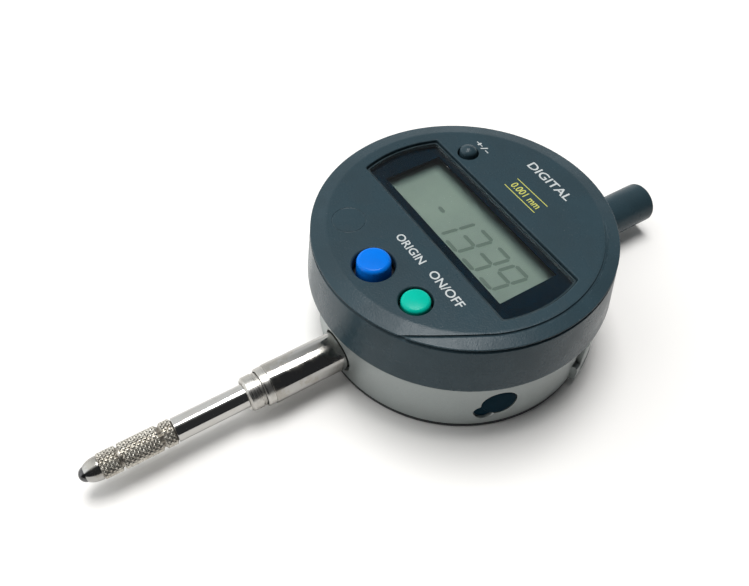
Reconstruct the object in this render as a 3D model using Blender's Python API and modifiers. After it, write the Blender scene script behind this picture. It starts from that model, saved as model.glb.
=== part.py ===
"""Digital plunger indicator, lying on its flat back.

The origin is the middle of the back face. +Z is the way the display faces, -Y is the way the
spindle points and +X is the way the display reads. Sizes are in millimetres, and the helper
functions turn them into the metres that Blender works in.
"""

from math import asin, cos, degrees, pi, radians, sin

import bmesh
import bpy
from mathutils import Matrix

MM = 0.001

# Driving dimensions
GAP = 0.3                    # clearance between pieces that touch on the real object
ROUND = 64                   # facets round the case
FINE = 32                    # facets round a shaft
SMALL = 20                   # facets round a screw or a button

BACK_THICKNESS = 1.16
CASE_RADIUS = 28.42
CASE_WALL = 2.0
CASE_TOP = 15.26
SKIRT_RADIUS = 30.1          # front cover, at its lower edge
RIM_RADIUS = 29.0            # front cover, where its side meets the sloped band
BAND_RADIUS = 26.2           # inner edge of the sloped band
RIM_HEIGHT = 26.98
FACE_HEIGHT = 27.63
COVER_WALL = 2.1

AXIS_HEIGHT = 6.2            # spindle axis above the back face
STEM_RADIUS = 4.0            # the standard 8 mm clamping stem
STEM_BORE = 3.5
SPINDLE_RADIUS = 2.37
BUSH_BORE = 2.62
SLEEVE_RADIUS = 2.42
CAP_RADIUS = 4.56
TRAVEL = 12.7                # how far the spindle goes in

NOSE_FRONT = -48.25
NOSE_BACK = -45.35
STEM_FRONT = -45.05
SLEEVE_BACK = -62.7
SLEEVE_FRONT = -72.6
POINT_BACK = -72.9
POINT_FRONT = -79.1
TIP = -80.25
SPINDLE_TOP = 31.0
CAP_BACK = 28.75
CAP_END = 52.87

WINDOW_RADIUS = 23.8         # the window's two curved ends
WINDOW_LOW = -8.1
WINDOW_HIGH = 9.0
LCD_LOW = -5.3
LCD_HIGH = 7.0
LCD_HALF = 18.3
BOARD_TOP = 17.4
BOARD_SCREW_X = (-20.2, 20.2)
FLANGE_TOP = 25.2
SWITCH_TOP = 23.0
PRESS = 0.6                  # how far each button goes in

SCREW_CIRCLE = 24.0
SCREW_ANGLES = (62.0, 118.0, 218.0, 322.0)
PORT_ANGLE = -18.3
PORT_HEIGHT = 7.9
PORT_RADIUS = 3.4
BATTERY_ANGLE = 35.0
BATTERY_SEAT = 19.8
BATTERY_RADIUS = 5.8
BATTERY_HEIGHT = 5.4
BULGE_RADIUS = 29.7
BOSS_TOP = 11.6
NOTCH_ANGLE = PORT_ANGLE - 8.0
NOTCH_HEIGHT = PORT_HEIGHT - 1.6
RAIL_X = -8.5
SPRING_X = 8.0
POST_Y = -22.8               # the spring's fixed end
HOOK_Y = -8.1                # the spring's moving end
SPRING_HEIGHT = 9.6
CARRIAGE_SCREW_Y = -5.0
CARRIAGE_END = 5.4           # clear of the case's screw columns at full travel
CHIP_HALF = 5.0              # half the encoder chip's length along the spindle

# name: (x, y, well radius, button radius, top height)
BUTTONS = {
    "origin": (0.4, -20.2, 4.15, 3.7, 29.2),
    "power": (11.2, -18.3, 3.3, 2.95, 28.1),
    "sign": (-15.5, 12.2, 2.4, 1.65, 29.1),
}

PARTS = None
CUTTERS = None


# Set-up and materials

def clear_scene():
    for obj in list(bpy.data.objects):
        bpy.data.objects.remove(obj, do_unlink=True)


def new_collection(name):
    collection = bpy.data.collections.new(name)
    bpy.context.scene.collection.children.link(collection)
    return collection


def material(name, colour, roughness, metallic=0.0):
    made = bpy.data.materials.get(name)
    if made is None:
        made = bpy.data.materials.new(name)
        made.use_nodes = True
        shader = made.node_tree.nodes["Principled BSDF"]
        shader.inputs["Base Color"].default_value = (*colour, 1.0)
        shader.inputs["Roughness"].default_value = roughness
        shader.inputs["Metallic"].default_value = metallic
        made.diffuse_color = (*colour, 1.0)
    return made


def slate():
    return material("slate_plastic", (0.050, 0.075, 0.095), 0.45)


def black():
    return material("black_plastic", (0.012, 0.018, 0.024), 0.4)


def silver():
    return material("silver_paint", (0.36, 0.37, 0.37), 0.4, 0.5)


def steel():
    return material("polished_steel", (0.62, 0.61, 0.58), 0.15, 1.0)


def dull_steel():
    return material("machined_steel", (0.45, 0.45, 0.44), 0.35, 1.0)


def brass():
    return material("brass", (0.62, 0.45, 0.18), 0.3, 1.0)


def carbide():
    return material("carbide", (0.10, 0.10, 0.11), 0.2, 1.0)


def board_green():
    return material("circuit_board", (0.02, 0.13, 0.06), 0.5)


def glass():
    return material("clear_glass", (0.55, 0.62, 0.62), 0.08)


def rubber():
    return material("rubber", (0.02, 0.02, 0.02), 0.8)


# Helpers

def finish(obj, skin, collection=None):
    """Put an object into its collection with its material."""
    (collection or PARTS).objects.link(obj)
    obj.data.materials.clear()
    obj.data.materials.append(skin)
    return obj


def mesh_object(name, mesh):
    mesh.name = name
    return bpy.data.objects.new(name, mesh)


def smooth(mesh, angle=30.0):
    mesh.shade_smooth()
    mesh.set_sharp_from_angle(angle=radians(angle))


def box(name, low, high, skin, collection=None):
    """A block between two corners."""
    size = [(b - a) * MM for a, b in zip(low, high)]
    centre = [(a + b) / 2 * MM for a, b in zip(low, high)]
    bm = bmesh.new()
    bmesh.ops.create_cube(bm, size=1.0, matrix=Matrix.Diagonal((*size, 1.0)))
    mesh = bpy.data.meshes.new(name)
    bm.to_mesh(mesh)
    bm.free()
    obj = finish(mesh_object(name, mesh), skin, collection)
    obj.location = centre
    return obj


def cylinder(name, radius, low, high, skin, facets=SMALL, collection=None, end_radius=None):
    """A round bar or cone along its own Z, from low to high."""
    bm = bmesh.new()
    bmesh.ops.create_cone(
        bm,
        cap_ends=True,
        segments=facets,
        radius1=radius * MM,
        radius2=(radius if end_radius is None else end_radius) * MM,
        depth=(high - low) * MM,
        matrix=Matrix.Translation((0.0, 0.0, (low + high) / 2 * MM)),
    )
    mesh = bpy.data.meshes.new(name)
    bm.to_mesh(mesh)
    bm.free()
    smooth(mesh)
    return finish(mesh_object(name, mesh), skin, collection)


def turned(name, profile, skin, facets=FINE, ring=False, collection=None):
    """A turned piece: (radius, height) points run down its outer side, and a ring's come back up."""
    mesh = bpy.data.meshes.new(name)
    points = [(r * MM, 0.0, h * MM) for r, h in profile]
    edges = [(i, i + 1) for i in range(len(points) - 1)]
    if ring:
        edges.append((len(points) - 1, 0))
    mesh.from_pydata(points, edges, [])
    obj = finish(mesh_object(name, mesh), skin, collection)
    screw = obj.modifiers.new("turn", "SCREW")
    screw.axis = "Z"
    screw.steps = facets
    screw.render_steps = facets
    screw.use_merge_vertices = True
    screw.merge_threshold = 0.00001
    screw.use_smooth_shade = True
    return obj


def extruded(name, outline, low, high, skin, collection=None):
    """A flat outline of (x, y) points, made solid from low to high."""
    curve = bpy.data.curves.new(name, "CURVE")
    curve.dimensions = "2D"
    curve.fill_mode = "BOTH"
    curve.extrude = (high - low) / 2 * MM
    spline = curve.splines.new("POLY")
    spline.points.add(len(outline) - 1)
    for point, (x, y) in zip(spline.points, outline):
        point.co = (x * MM, y * MM, 0.0, 1.0)
    spline.use_cyclic_u = True
    source = bpy.data.objects.new(name + "_outline", curve)
    source.location = (0.0, 0.0, (low + high) / 2 * MM)
    return as_mesh(source, name, skin, collection)


def as_mesh(source, name, skin, collection=None):
    """Turn a curve object into a welded mesh object at the same place."""
    bpy.context.scene.collection.objects.link(source)
    bpy.context.view_layer.update()
    evaluated = source.evaluated_get(bpy.context.evaluated_depsgraph_get())
    mesh = bpy.data.meshes.new_from_object(evaluated)
    bm = bmesh.new()
    bm.from_mesh(mesh)
    bmesh.ops.remove_doubles(bm, verts=bm.verts, dist=0.000001)
    bm.to_mesh(mesh)
    bm.free()
    obj = finish(mesh_object(name, mesh), skin, collection)
    obj.matrix_world = source.matrix_world
    bpy.data.objects.remove(source, do_unlink=True)
    return obj


def tube(name, path, radius, skin, sides):
    """A wire or rod along a path of (x, y, z) points, with closed ends."""
    curve = bpy.data.curves.new(name, "CURVE")
    curve.dimensions = "3D"
    curve.bevel_depth = radius * MM
    curve.bevel_resolution = sides
    curve.use_fill_caps = True
    spline = curve.splines.new("POLY")
    spline.points.add(len(path) - 1)
    for point, (x, y, z) in zip(spline.points, path):
        point.co = (x * MM, y * MM, z * MM, 1.0)
    return as_mesh(bpy.data.objects.new(name + "_path", curve), name, skin)


def combine(target, tool, operation):
    """Cut a cutter from a piece, join a tool to it, or keep what both share."""
    tool.hide_render = True
    tool.display_type = "WIRE"
    step = target.modifiers.new(tool.name, "BOOLEAN")
    step.operation = operation
    step.object = tool
    step.solver = "EXACT"


def cut(target, tool):
    combine(target, tool, "DIFFERENCE")


def join(target, tool):
    combine(target, tool, "UNION")


def along_y(obj, x=0.0, z=AXIS_HEIGHT):
    """Lay a turned piece on a line along +Y."""
    obj.rotation_euler = (-pi / 2, 0.0, 0.0)
    obj.location = (x * MM, 0.0, z * MM)
    return obj


def outward(obj, angle, height):
    """Point a piece's own Z outward from the case at an angle."""
    obj.rotation_euler = (0.0, pi / 2, radians(angle))
    obj.location = (0.0, 0.0, height * MM)
    return obj


def swung(obj, angle):
    """Swing a piece that was drawn along +X round the case's middle."""
    place = Matrix.Rotation(radians(angle), 4, "Z") @ Matrix.Translation(obj.location)
    obj.matrix_world = place
    return obj


def arc(radius, start, end, steps):
    """Points on an arc round the origin, angles in degrees."""
    turn = [radians(start + (end - start) * i / steps) for i in range(steps + 1)]
    return [(radius * cos(a), radius * sin(a)) for a in turn]


def window_outline(inset):
    """Straight long sides, with ends that are arcs about the case's middle."""
    radius = WINDOW_RADIUS - inset
    low = WINDOW_LOW + inset
    high = WINDOW_HIGH - inset
    start = degrees(asin(low / radius))
    end = degrees(asin(high / radius))
    right = arc(radius, start, end, 8)
    left = arc(radius, 180.0 - end, 180.0 - start, 8)
    return right + left


# Case

def front_cover():
    inner = SKIRT_RADIUS - COVER_WALL
    roof = FACE_HEIGHT - COVER_WALL
    bottom = CASE_TOP + GAP
    profile = [
        (0.0, FACE_HEIGHT),
        (BAND_RADIUS, FACE_HEIGHT),
        (RIM_RADIUS, RIM_HEIGHT),
        (SKIRT_RADIUS, bottom + 1.0),
        (SKIRT_RADIUS, bottom),
        (inner, bottom),
        (RIM_RADIUS - COVER_WALL, roof),
        (0.0, roof),
    ]
    cover = turned("front_cover", profile, slate(), ROUND)
    for i, angle in enumerate(SCREW_ANGLES):
        x, y = at_angle(SCREW_CIRCLE, angle)
        boss = cylinder(f"cover_boss_{i}", 2.2, bottom, roof + 1.0, slate(), 16, CUTTERS)
        boss.location = (x * MM, y * MM, 0.0)
        join(cover, boss)
        hole = cylinder(f"cover_hole_{i}", 1.25, bottom - 1.0, 21.0, slate(), 12, CUTTERS)
        hole.location = (x * MM, y * MM, 0.0)
        cut(cover, hole)
    cut(cover, extruded("window_cutter", window_outline(0.0), 20.0, 30.0, slate(), CUTTERS))
    for name, (x, y, well, _, _) in BUTTONS.items():
        hole = cylinder(f"{name}_well_cutter", well, 20.0, 30.0, slate(), SMALL, CUTTERS)
        hole.location = (x * MM, y * MM, 0.0)
        cut(cover, hole)
    return cover


def at_angle(radius, angle):
    return radius * cos(radians(angle)), radius * sin(radians(angle))


def middle_case():
    low = BACK_THICKNESS + GAP
    inner = CASE_RADIUS - CASE_WALL
    ring = [(CASE_RADIUS, CASE_TOP), (CASE_RADIUS, low), (inner, low), (inner, CASE_TOP)]
    case = turned("middle_case", ring, silver(), ROUND, ring=True)
    bulge = arc(BULGE_RADIUS, BATTERY_ANGLE - 17.0, BATTERY_ANGLE + 17.0, 8)
    bulge += arc(inner + 0.6, BATTERY_ANGLE + 17.0, BATTERY_ANGLE - 17.0, 8)
    join(case, extruded("battery_bulge", bulge, low + 0.1, 12.6, silver(), CUTTERS))
    inside = inner + 1.0
    stem_boss = arc(inside, 247.0, 283.0, 6) + [(6.0, -21.5), (-10.5, -21.5)]
    join(case, extruded("stem_boss", stem_boss, low + 0.15, BOSS_TOP, silver(), CUTTERS))
    ledge = arc(inside - 0.2, 280.0, 292.0, 4) + [(10.2, -21.3), (5.0, -21.3)]
    join(case, extruded("spring_ledge", ledge, low + 0.25, 5.5, silver(), CUTTERS))
    cap_boss = arc(inside, 77.0, 113.0, 6) + [(-10.5, 21.5), (6.0, 21.5)]
    join(case, extruded("cap_boss", cap_boss, low + 0.15, BOSS_TOP, silver(), CUTTERS))
    for i, angle in enumerate(SCREW_ANGLES):
        x, y = at_angle(SCREW_CIRCLE, angle)
        column = cylinder(f"case_column_{i}", 2.7, low + 0.05, CASE_TOP - 0.05, silver(), 16, CUTTERS)
        column.location = (x * MM, y * MM, 0.0)
        join(case, column)
        hole = cylinder(f"case_hole_{i}", 1.3, low - 1.0, CASE_TOP + 1.0, silver(), 12, CUTTERS)
        hole.location = (x * MM, y * MM, 0.0)
        cut(case, hole)
    bore = cylinder("stem_bore", STEM_RADIUS + GAP, -32.0, -24.0, silver(), FINE, CUTTERS)
    cut(case, along_y(bore))
    throat = cylinder("stem_throat", 3.4, -25.0, -20.0, silver(), FINE, CUTTERS)
    cut(case, along_y(throat))
    upper = cylinder("sleeve_bore", 3.85, 20.0, 32.0, silver(), FINE, CUTTERS)
    cut(case, along_y(upper))
    rail = cylinder("rail_bore", 1.1, -24.5, 24.5, silver(), 12, CUTTERS)
    cut(case, along_y(rail, RAIL_X))
    post = cylinder("post_bore", 0.85, 3.7, 8.0, silver(), 12, CUTTERS)
    post.location = (SPRING_X * MM, POST_Y * MM, 0.0)
    cut(case, post)
    port = cylinder("port_hole", PORT_RADIUS + GAP, 24.0, 32.0, silver(), 24, CUTTERS)
    cut(case, outward(port, PORT_ANGLE, PORT_HEIGHT))
    notch = cylinder("port_notch", 1.7, 26.9, 32.0, silver(), 16, CUTTERS)
    cut(case, outward(notch, NOTCH_ANGLE, NOTCH_HEIGHT))
    opening = box("battery_opening", (20.0, -6.6, 3.1), (34.0, 6.6, 11.6), silver(), CUTTERS)
    cut(case, swung(opening, BATTERY_ANGLE))
    return case


def back_cover():
    plate = cylinder("back_cover", CASE_RADIUS, 0.0, BACK_THICKNESS, black(), ROUND)
    for i, angle in enumerate(SCREW_ANGLES):
        x, y = at_angle(SCREW_CIRCLE, angle)
        seat = cylinder(
            f"screw_seat_{i}", 2.75, -0.5, BACK_THICKNESS + 0.5, black(), SMALL, CUTTERS, 0.95
        )
        seat.location = (x * MM, y * MM, 0.0)
        cut(plate, seat)
    return plate


def back_screws():
    """Countersunk screws from the back, through the middle case, into the front cover."""
    for i, angle in enumerate(SCREW_ANGLES):
        x, y = at_angle(SCREW_CIRCLE, angle)
        profile = [
            (0.0, 19.5),
            (0.6, 19.5),
            (0.85, 18.9),
            (0.85, 1.15),
            (1.85, 0.12),
            (0.0, 0.12),
        ]
        screw = turned(f"back_screw_{i + 1}", profile, dull_steel(), 16)
        screw.location = (x * MM, y * MM, 0.0)
        slot = box(f"back_screw_slot_{i + 1}", (-2.0, -0.25, -0.5), (2.0, 0.25, 0.5), steel(), CUTTERS)
        slot.location = (x * MM, y * MM, 0.0)
        cut(screw, slot)


# Stem and bearings

def stem():
    profile = [
        (STEM_RADIUS, -24.4),
        (STEM_RADIUS, -43.4),
        (3.85, -43.55),
        (3.85, STEM_FRONT),
        (STEM_BORE, STEM_FRONT),
        (STEM_BORE, -24.4),
    ]
    along_y(turned("stem", profile, steel(), FINE, ring=True))


def stem_nose():
    profile = [
        (3.2, NOSE_BACK + 2.0),
        (3.2, NOSE_BACK),
        (3.45, NOSE_BACK),
        (3.45, NOSE_FRONT + 0.35),
        (3.1, NOSE_FRONT),
        (BUSH_BORE, NOSE_FRONT),
        (BUSH_BORE, NOSE_BACK + 2.0),
    ]
    along_y(turned("stem_nose", profile, steel(), FINE, ring=True))


def bush(name, low, high, outer):
    profile = [(outer, high), (outer, low), (BUSH_BORE, low), (BUSH_BORE, high)]
    along_y(turned(name, profile, brass(), FINE, ring=True))


def cap_sleeve():
    profile = [(3.55, 33.0), (3.55, 21.8), (3.2, 21.8), (3.2, 33.0)]
    along_y(turned("cap_sleeve", profile, dull_steel(), FINE, ring=True))


def buffer_washer():
    profile = [(3.9, -20.7), (3.9, -21.2), (2.67, -21.2), (2.67, -20.7)]
    along_y(turned("buffer_washer", profile, rubber(), FINE, ring=True))


def guide_rail():
    along_y(cylinder("guide_rail", 0.8, -24.2, 24.2, steel(), 12), RAIL_X)


# Plunger

def spindle():
    profile = [
        (0.0, SPINDLE_TOP - 3.2),
        (0.9, SPINDLE_TOP - 3.2),
        (0.9, SPINDLE_TOP),
        (SPINDLE_RADIUS, SPINDLE_TOP),
        (SPINDLE_RADIUS, SLEEVE_BACK + GAP),
        (0.0, SLEEVE_BACK + GAP),
    ]
    return along_y(turned("spindle", profile, steel(), FINE))


def knurled_sleeve():
    profile = [
        (0.0, SLEEVE_BACK),
        (2.1, SLEEVE_BACK),
        (SLEEVE_RADIUS, SLEEVE_BACK - 0.25),
        (SLEEVE_RADIUS, -64.75),
        (2.0, -65.1),
        (SLEEVE_RADIUS, -65.45),
        (SLEEVE_RADIUS, SLEEVE_FRONT + 0.2),
        (2.2, SLEEVE_FRONT),
        (0.0, SLEEVE_FRONT),
    ]
    along_y(turned("knurled_sleeve", profile, dull_steel(), FINE))


def contact_point():
    cone = [
        (2.32, -76.75),
        (2.05, -77.6),
        (1.7, -78.5),
        (1.38, POINT_FRONT),
    ]
    profile = [
        (0.0, POINT_BACK),
        (2.2, POINT_BACK),
        (2.38, POINT_BACK - 0.2),
        (2.38, -76.35),
        *cone,
        (1.0, POINT_FRONT),
        (1.0, POINT_FRONT + 1.6),
        (0.0, POINT_FRONT + 1.6),
    ]
    along_y(turned("contact_point", profile, dull_steel(), FINE))


def contact_ball():
    """A carbide ball's cap on the shank that holds it in the contact point."""
    base = POINT_FRONT - GAP
    reach = base - TIP
    foot = 1.25
    radius = (foot ** 2 + reach ** 2) / (2 * reach)
    centre = TIP + radius
    start = degrees(asin((base - centre) / radius))
    dome = []
    for i in range(1, 6):
        angle = radians(start + (-90.0 - start) * i / 6)
        dome.append((radius * cos(angle), centre + radius * sin(angle)))
    profile = [
        (0.0, POINT_FRONT + 1.3),
        (0.7, POINT_FRONT + 1.3),
        (0.7, base),
        (foot, base),
        *dome,
        (0.0, TIP),
    ]
    along_y(turned("contact_ball", profile, carbide(), 24))


def scale_carriage():
    """Clamps the spindle, rides on the guide rail and carries the scale and the spring's hook."""
    low = 2.6
    carriage = box("scale_carriage", (-10.3, -9.0, low), (6.0, CARRIAGE_END, 10.0), dull_steel())
    join(carriage, box("hook_arm", (5.0, -9.0, 4.4), (9.4, -7.2, 7.4), dull_steel(), CUTTERS))
    relief_end = CARRIAGE_END - 3.0
    relief = box("arm_relief", (-12.0, -6.0, 0.0), (-5.5, relief_end, 12.0), dull_steel(), CUTTERS)
    cut(carriage, relief)
    bore = cylinder("carriage_bore", SPINDLE_RADIUS + GAP, -12.0, 12.0, dull_steel(), FINE, CUTTERS)
    cut(carriage, along_y(bore))
    slide = cylinder("carriage_slide", 1.1, -12.0, 12.0, dull_steel(), 12, CUTTERS)
    cut(carriage, along_y(slide, RAIL_X))
    tapped = outward(
        cylinder("carriage_tap", 0.9, 3.0, 8.0, dull_steel(), 12, CUTTERS), 0.0, AXIS_HEIGHT
    )
    tapped.location.y = CARRIAGE_SCREW_Y * MM
    cut(carriage, tapped)
    hook = cylinder("hook_bore", 0.7, 6.0, 9.0, dull_steel(), 12, CUTTERS)
    hook.location = (SPRING_X * MM, HOOK_Y * MM, 0.0)
    cut(carriage, hook)


def carriage_screw():
    profile = [(0.0, 7.2), (1.3, 7.2), (1.3, 6.3), (0.6, 6.3), (0.6, 3.3), (0.0, 3.3)]
    screw = outward(turned("carriage_screw", profile, steel(), 16), 0.0, AXIS_HEIGHT)
    screw.location.y = CARRIAGE_SCREW_Y * MM
    slot = box(
        "carriage_screw_slot",
        (6.9, CARRIAGE_SCREW_Y - 2.0, AXIS_HEIGHT - 0.22),
        (8.0, CARRIAGE_SCREW_Y + 2.0, AXIS_HEIGHT + 0.22),
        steel(),
        CUTTERS,
    )
    cut(screw, slot)


def main_scale():
    """Long enough to stay under the encoder chip through the whole travel."""
    front = -CHIP_HALF - TRAVEL - 2.5
    box("main_scale", (-4.0, front, 10.3), (5.5, CHIP_HALF + 0.2, 10.9), glass())


def stop_ring():
    profile = [(3.3, -18.6), (3.3, -20.4), (2.67, -20.4), (2.67, -18.6)]
    along_y(turned("stop_ring", profile, dull_steel(), FINE, ring=True))


def spindle_end_screw():
    head = SPINDLE_TOP + GAP
    profile = [
        (0.0, head + 1.5),
        (1.9, head + 1.5),
        (1.9, head),
        (0.6, head),
        (0.6, head - 3.0),
        (0.0, head - 3.0),
    ]
    screw = along_y(turned("spindle_end_screw", profile, dull_steel(), 16))
    slot = box(
        "end_screw_slot",
        (-3.0, head + 1.0, AXIS_HEIGHT - 0.25),
        (3.0, head + 3.0, AXIS_HEIGHT + 0.25),
        steel(),
        CUTTERS,
    )
    cut(screw, slot)


# Spring

def spring_posts():
    fixed = cylinder("spring_post", 0.55, 4.0, 10.8, steel(), 12)
    fixed.location = (SPRING_X * MM, POST_Y * MM, 0.0)
    moving = cylinder("spring_hook_post", 0.4, 6.3, 10.8, steel(), 12)
    moving.location = (SPRING_X * MM, HOOK_Y * MM, 0.0)


def return_spring():
    """An extension spring from the case's post to the carriage's, as one wire."""
    start = POST_Y + 2.0
    end = HOOK_Y - 2.0
    turns = 8
    per_turn = 10
    radius = 1.1
    path = [(SPRING_X, start - 1.1, SPRING_HEIGHT)]
    for i in range(turns * per_turn + 1):
        angle = 2 * pi * i / per_turn
        y = start + (end - start) * i / (turns * per_turn)
        path.append((SPRING_X + radius * sin(angle), y, SPRING_HEIGHT - radius * cos(angle)))
    path.append((SPRING_X, end + 1.1, SPRING_HEIGHT))
    tube("return_spring", path, 0.16, steel(), 1)


# Display and electronics

def display_window():
    extruded("display_window", window_outline(GAP), 25.6, 27.1, glass())


def display_mask():
    mask = extruded("display_mask", window_outline(GAP), 25.0, 25.3, black())
    cut(mask, box(
        "mask_cutter", (-LCD_HALF, LCD_LOW, 24.0), (LCD_HALF, LCD_HIGH, 26.0), black(), CUTTERS
    ))


def lcd_panel():
    box("lcd_panel", (-20.0, -7.8, 22.9), (20.0, 8.6, 24.7), material("lcd", (0.30, 0.33, 0.28), 0.3))


def lcd_holder():
    """A frame between the main board and the LCD, with slots for the connector strips."""
    holder = box("lcd_holder", (-22.0, -9.2, BOARD_TOP + GAP), (22.0, 8.9, 22.6), black())
    for i, (low, high) in enumerate(((-5.0, 5.0), (-7.6, -5.8), (6.3, 8.1))):
        cut(holder, box(f"holder_slot_{i}", (-18.0, low, 15.0), (18.0, high, 25.0), black(), CUTTERS))
    for i, x in enumerate(BOARD_SCREW_X):
        hole = cylinder(f"holder_hole_{i}", 0.9, 15.0, 21.3, black(), 12, CUTTERS)
        hole.location.x = x * MM
        cut(holder, hole)


def connector_strips():
    low = BOARD_TOP + GAP
    box("connector_strip_front", (-17.6, -7.3, low), (17.6, -6.1, 22.6), rubber())
    box("connector_strip_rear", (-17.6, 6.6, low), (17.6, 7.8, 22.6), rubber())


def main_board():
    board = cylinder("main_board", 24.4, BOARD_TOP - 1.0, BOARD_TOP, board_green(), 48)
    for i, angle in enumerate(SCREW_ANGLES):
        x, y = at_angle(SCREW_CIRCLE, angle)
        notch = cylinder(f"board_notch_{i}", 2.6, 15.0, 19.0, board_green(), 16, CUTTERS)
        notch.location = (x * MM, y * MM, 0.0)
        cut(board, notch)
    for i, x in enumerate(BOARD_SCREW_X):
        hole = cylinder(f"board_hole_{i}", 0.9, 15.0, 19.0, board_green(), 12, CUTTERS)
        hole.location.x = x * MM
        cut(board, hole)


def board_screws():
    head = BOARD_TOP - 1.0 - GAP
    for i, x in enumerate(BOARD_SCREW_X):
        profile = [(0.0, 21.0), (0.6, 21.0), (0.6, head), (1.3, head), (1.3, head - 0.7), (0.0, head - 0.7)]
        screw = turned(f"board_screw_{i + 1}", profile, steel(), 16)
        screw.location.x = x * MM


def processor():
    low = BOARD_TOP + GAP
    box("processor", (-10.0, -17.0, low), (-3.0, -10.0, low + 1.2), black())


def encoder_board():
    low = BOSS_TOP + GAP
    box("encoder_board", (-6.0, -24.0, low), (4.6, 24.0, low + 0.8), board_green())


def encoder_chip():
    box("encoder_chip", (-4.0, -CHIP_HALF, 11.2), (4.0, CHIP_HALF, 11.6), black())


def switches():
    """A push switch on the main board under each button."""
    low = BOARD_TOP + GAP
    for name, (x, y, _, _, _) in BUTTONS.items():
        body = box(f"{name}_switch", (x - 2.6, y - 2.6, low), (x + 2.6, y + 2.6, 21.4), black())
        plunger = cylinder(f"{name}_switch_top", 1.5, 21.0, SWITCH_TOP, black(), 16, CUTTERS)
        plunger.location = (x * MM, y * MM, 0.0)
        join(body, plunger)


def buttons():
    """Each button is held under the front cover by its flange and stands in a round well."""
    skins = {
        "origin": material("blue_plastic", (0.0, 0.14, 0.78), 0.3),
        "power": material("green_plastic", (0.0, 0.62, 0.45), 0.3),
        "sign": slate(),
    }
    for name, (x, y, well, radius, top) in BUTTONS.items():
        profile = [
            (0.0, top),
            (radius * 0.72, top - 0.05),
            (radius * 0.92, top - 0.35),
            (radius, top - 1.0),
            (radius, FLANGE_TOP),
            (well + 0.5, FLANGE_TOP),
            (well + 0.5, FLANGE_TOP - 0.9),
            (1.0, FLANGE_TOP - 0.9),
            (1.0, SWITCH_TOP + PRESS + 0.1),
            (0.0, SWITCH_TOP + PRESS + 0.1),
        ]
        button = turned(f"{name}_button", profile, skins[name], 24)
        button.location = (x * MM, y * MM, 0.0)


def data_connector():
    body = box("data_connector", (21.0, -3.0, 5.6), (26.0, 3.0, 16.1), black())
    swung(body, PORT_ANGLE)
    socket = box("connector_socket", (22.5, -1.9, 6.6), (28.0, 1.9, 9.2), black(), CUTTERS)
    cut(body, swung(socket, PORT_ANGLE))


def data_port_cover():
    cover = cylinder("data_port_cover", PORT_RADIUS, 26.8, 30.0, black(), 24)
    outward(cover, PORT_ANGLE, PORT_HEIGHT)
    combine(cover, cylinder("port_face", CASE_RADIUS, 0.0, 20.0, black(), ROUND, CUTTERS), "INTERSECT")
    tongue = cylinder("port_tongue", 1.4, 27.2, 27.9, black(), 16, CUTTERS)
    join(cover, outward(tongue, NOTCH_ANGLE, NOTCH_HEIGHT))
    plug = box("port_plug", (22.9, -1.6, 6.9), (27.2, 1.6, 8.9), black(), CUTTERS)
    join(cover, swung(plug, PORT_ANGLE))


def spindle_cap():
    inside = CAP_RADIUS - 0.66
    profile = [
        (0.0, CAP_END),
        (CAP_RADIUS - 0.4, CAP_END),
        (CAP_RADIUS, CAP_END - 0.4),
        (CAP_RADIUS, CAP_BACK),
        (inside, CAP_BACK),
        (inside, CAP_END - 1.4),
        (0.0, CAP_END - 1.4),
    ]
    along_y(turned("spindle_cap", profile, slate(), FINE))


# Battery

def battery_cover():
    """The curved door and the tray behind it slide out of the bulge together."""
    outline = arc(BULGE_RADIUS - 0.1, -12.2, 12.2, 6) + arc(27.2, 13.3, -13.3, 6)
    cover = extruded("battery_cover", outline, 3.4, 11.3, black())
    cover.matrix_world = Matrix.Rotation(radians(BATTERY_ANGLE), 4, "Z") @ cover.matrix_world
    tray = box("battery_tray", (13.6, -6.2, 4.3), (27.8, 6.2, 5.1), black(), CUTTERS)
    join(cover, swung(tray, BATTERY_ANGLE))


def battery():
    low = 5.4
    profile = [
        (0.0, low + BATTERY_HEIGHT),
        (BATTERY_RADIUS - 0.9, low + BATTERY_HEIGHT),
        (BATTERY_RADIUS - 0.9, low + BATTERY_HEIGHT - 0.4),
        (BATTERY_RADIUS, low + BATTERY_HEIGHT - 0.8),
        (BATTERY_RADIUS, low),
        (0.0, low),
    ]
    cell = turned("battery", profile, steel(), FINE)
    x, y = at_angle(BATTERY_SEAT, BATTERY_ANGLE)
    cell.location = (x * MM, y * MM, 0.0)


def battery_terminals():
    board = BOARD_TOP - 1.0 - GAP
    plus = box("battery_terminal_plus", (13.0, -2.2, 7.5), (13.3, 2.2, board), brass())
    swung(plus, BATTERY_ANGLE)
    minus = box("battery_terminal_minus", (15.0, -1.5, 11.2), (23.5, 1.5, 11.5), brass())
    swung(minus, BATTERY_ANGLE)
    leg = box("terminal_leg", (15.0, -1.5, 11.3), (15.3, 1.5, board), brass(), CUTTERS)
    join(minus, swung(leg, BATTERY_ANGLE))


def build():
    global PARTS, CUTTERS
    clear_scene()
    PARTS = new_collection("digital_indicator")
    CUTTERS = new_collection("cutters")
    front_cover()
    middle_case()
    back_cover()
    back_screws()
    stem()
    stem_nose()
    bush("lower_bush", -43.0, -34.0, 3.25)
    bush("upper_bush", 22.0, 30.0, 2.92)
    cap_sleeve()
    buffer_washer()
    guide_rail()
    spindle()
    knurled_sleeve()
    contact_point()
    contact_ball()
    scale_carriage()
    carriage_screw()
    main_scale()
    stop_ring()
    spindle_end_screw()
    spring_posts()
    return_spring()
    display_window()
    display_mask()
    lcd_panel()
    lcd_holder()
    connector_strips()
    main_board()
    board_screws()
    processor()
    encoder_board()
    encoder_chip()
    switches()
    buttons()
    data_connector()
    data_port_cover()
    spindle_cap()
    battery_cover()
    battery()
    battery_terminals()


build()
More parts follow.
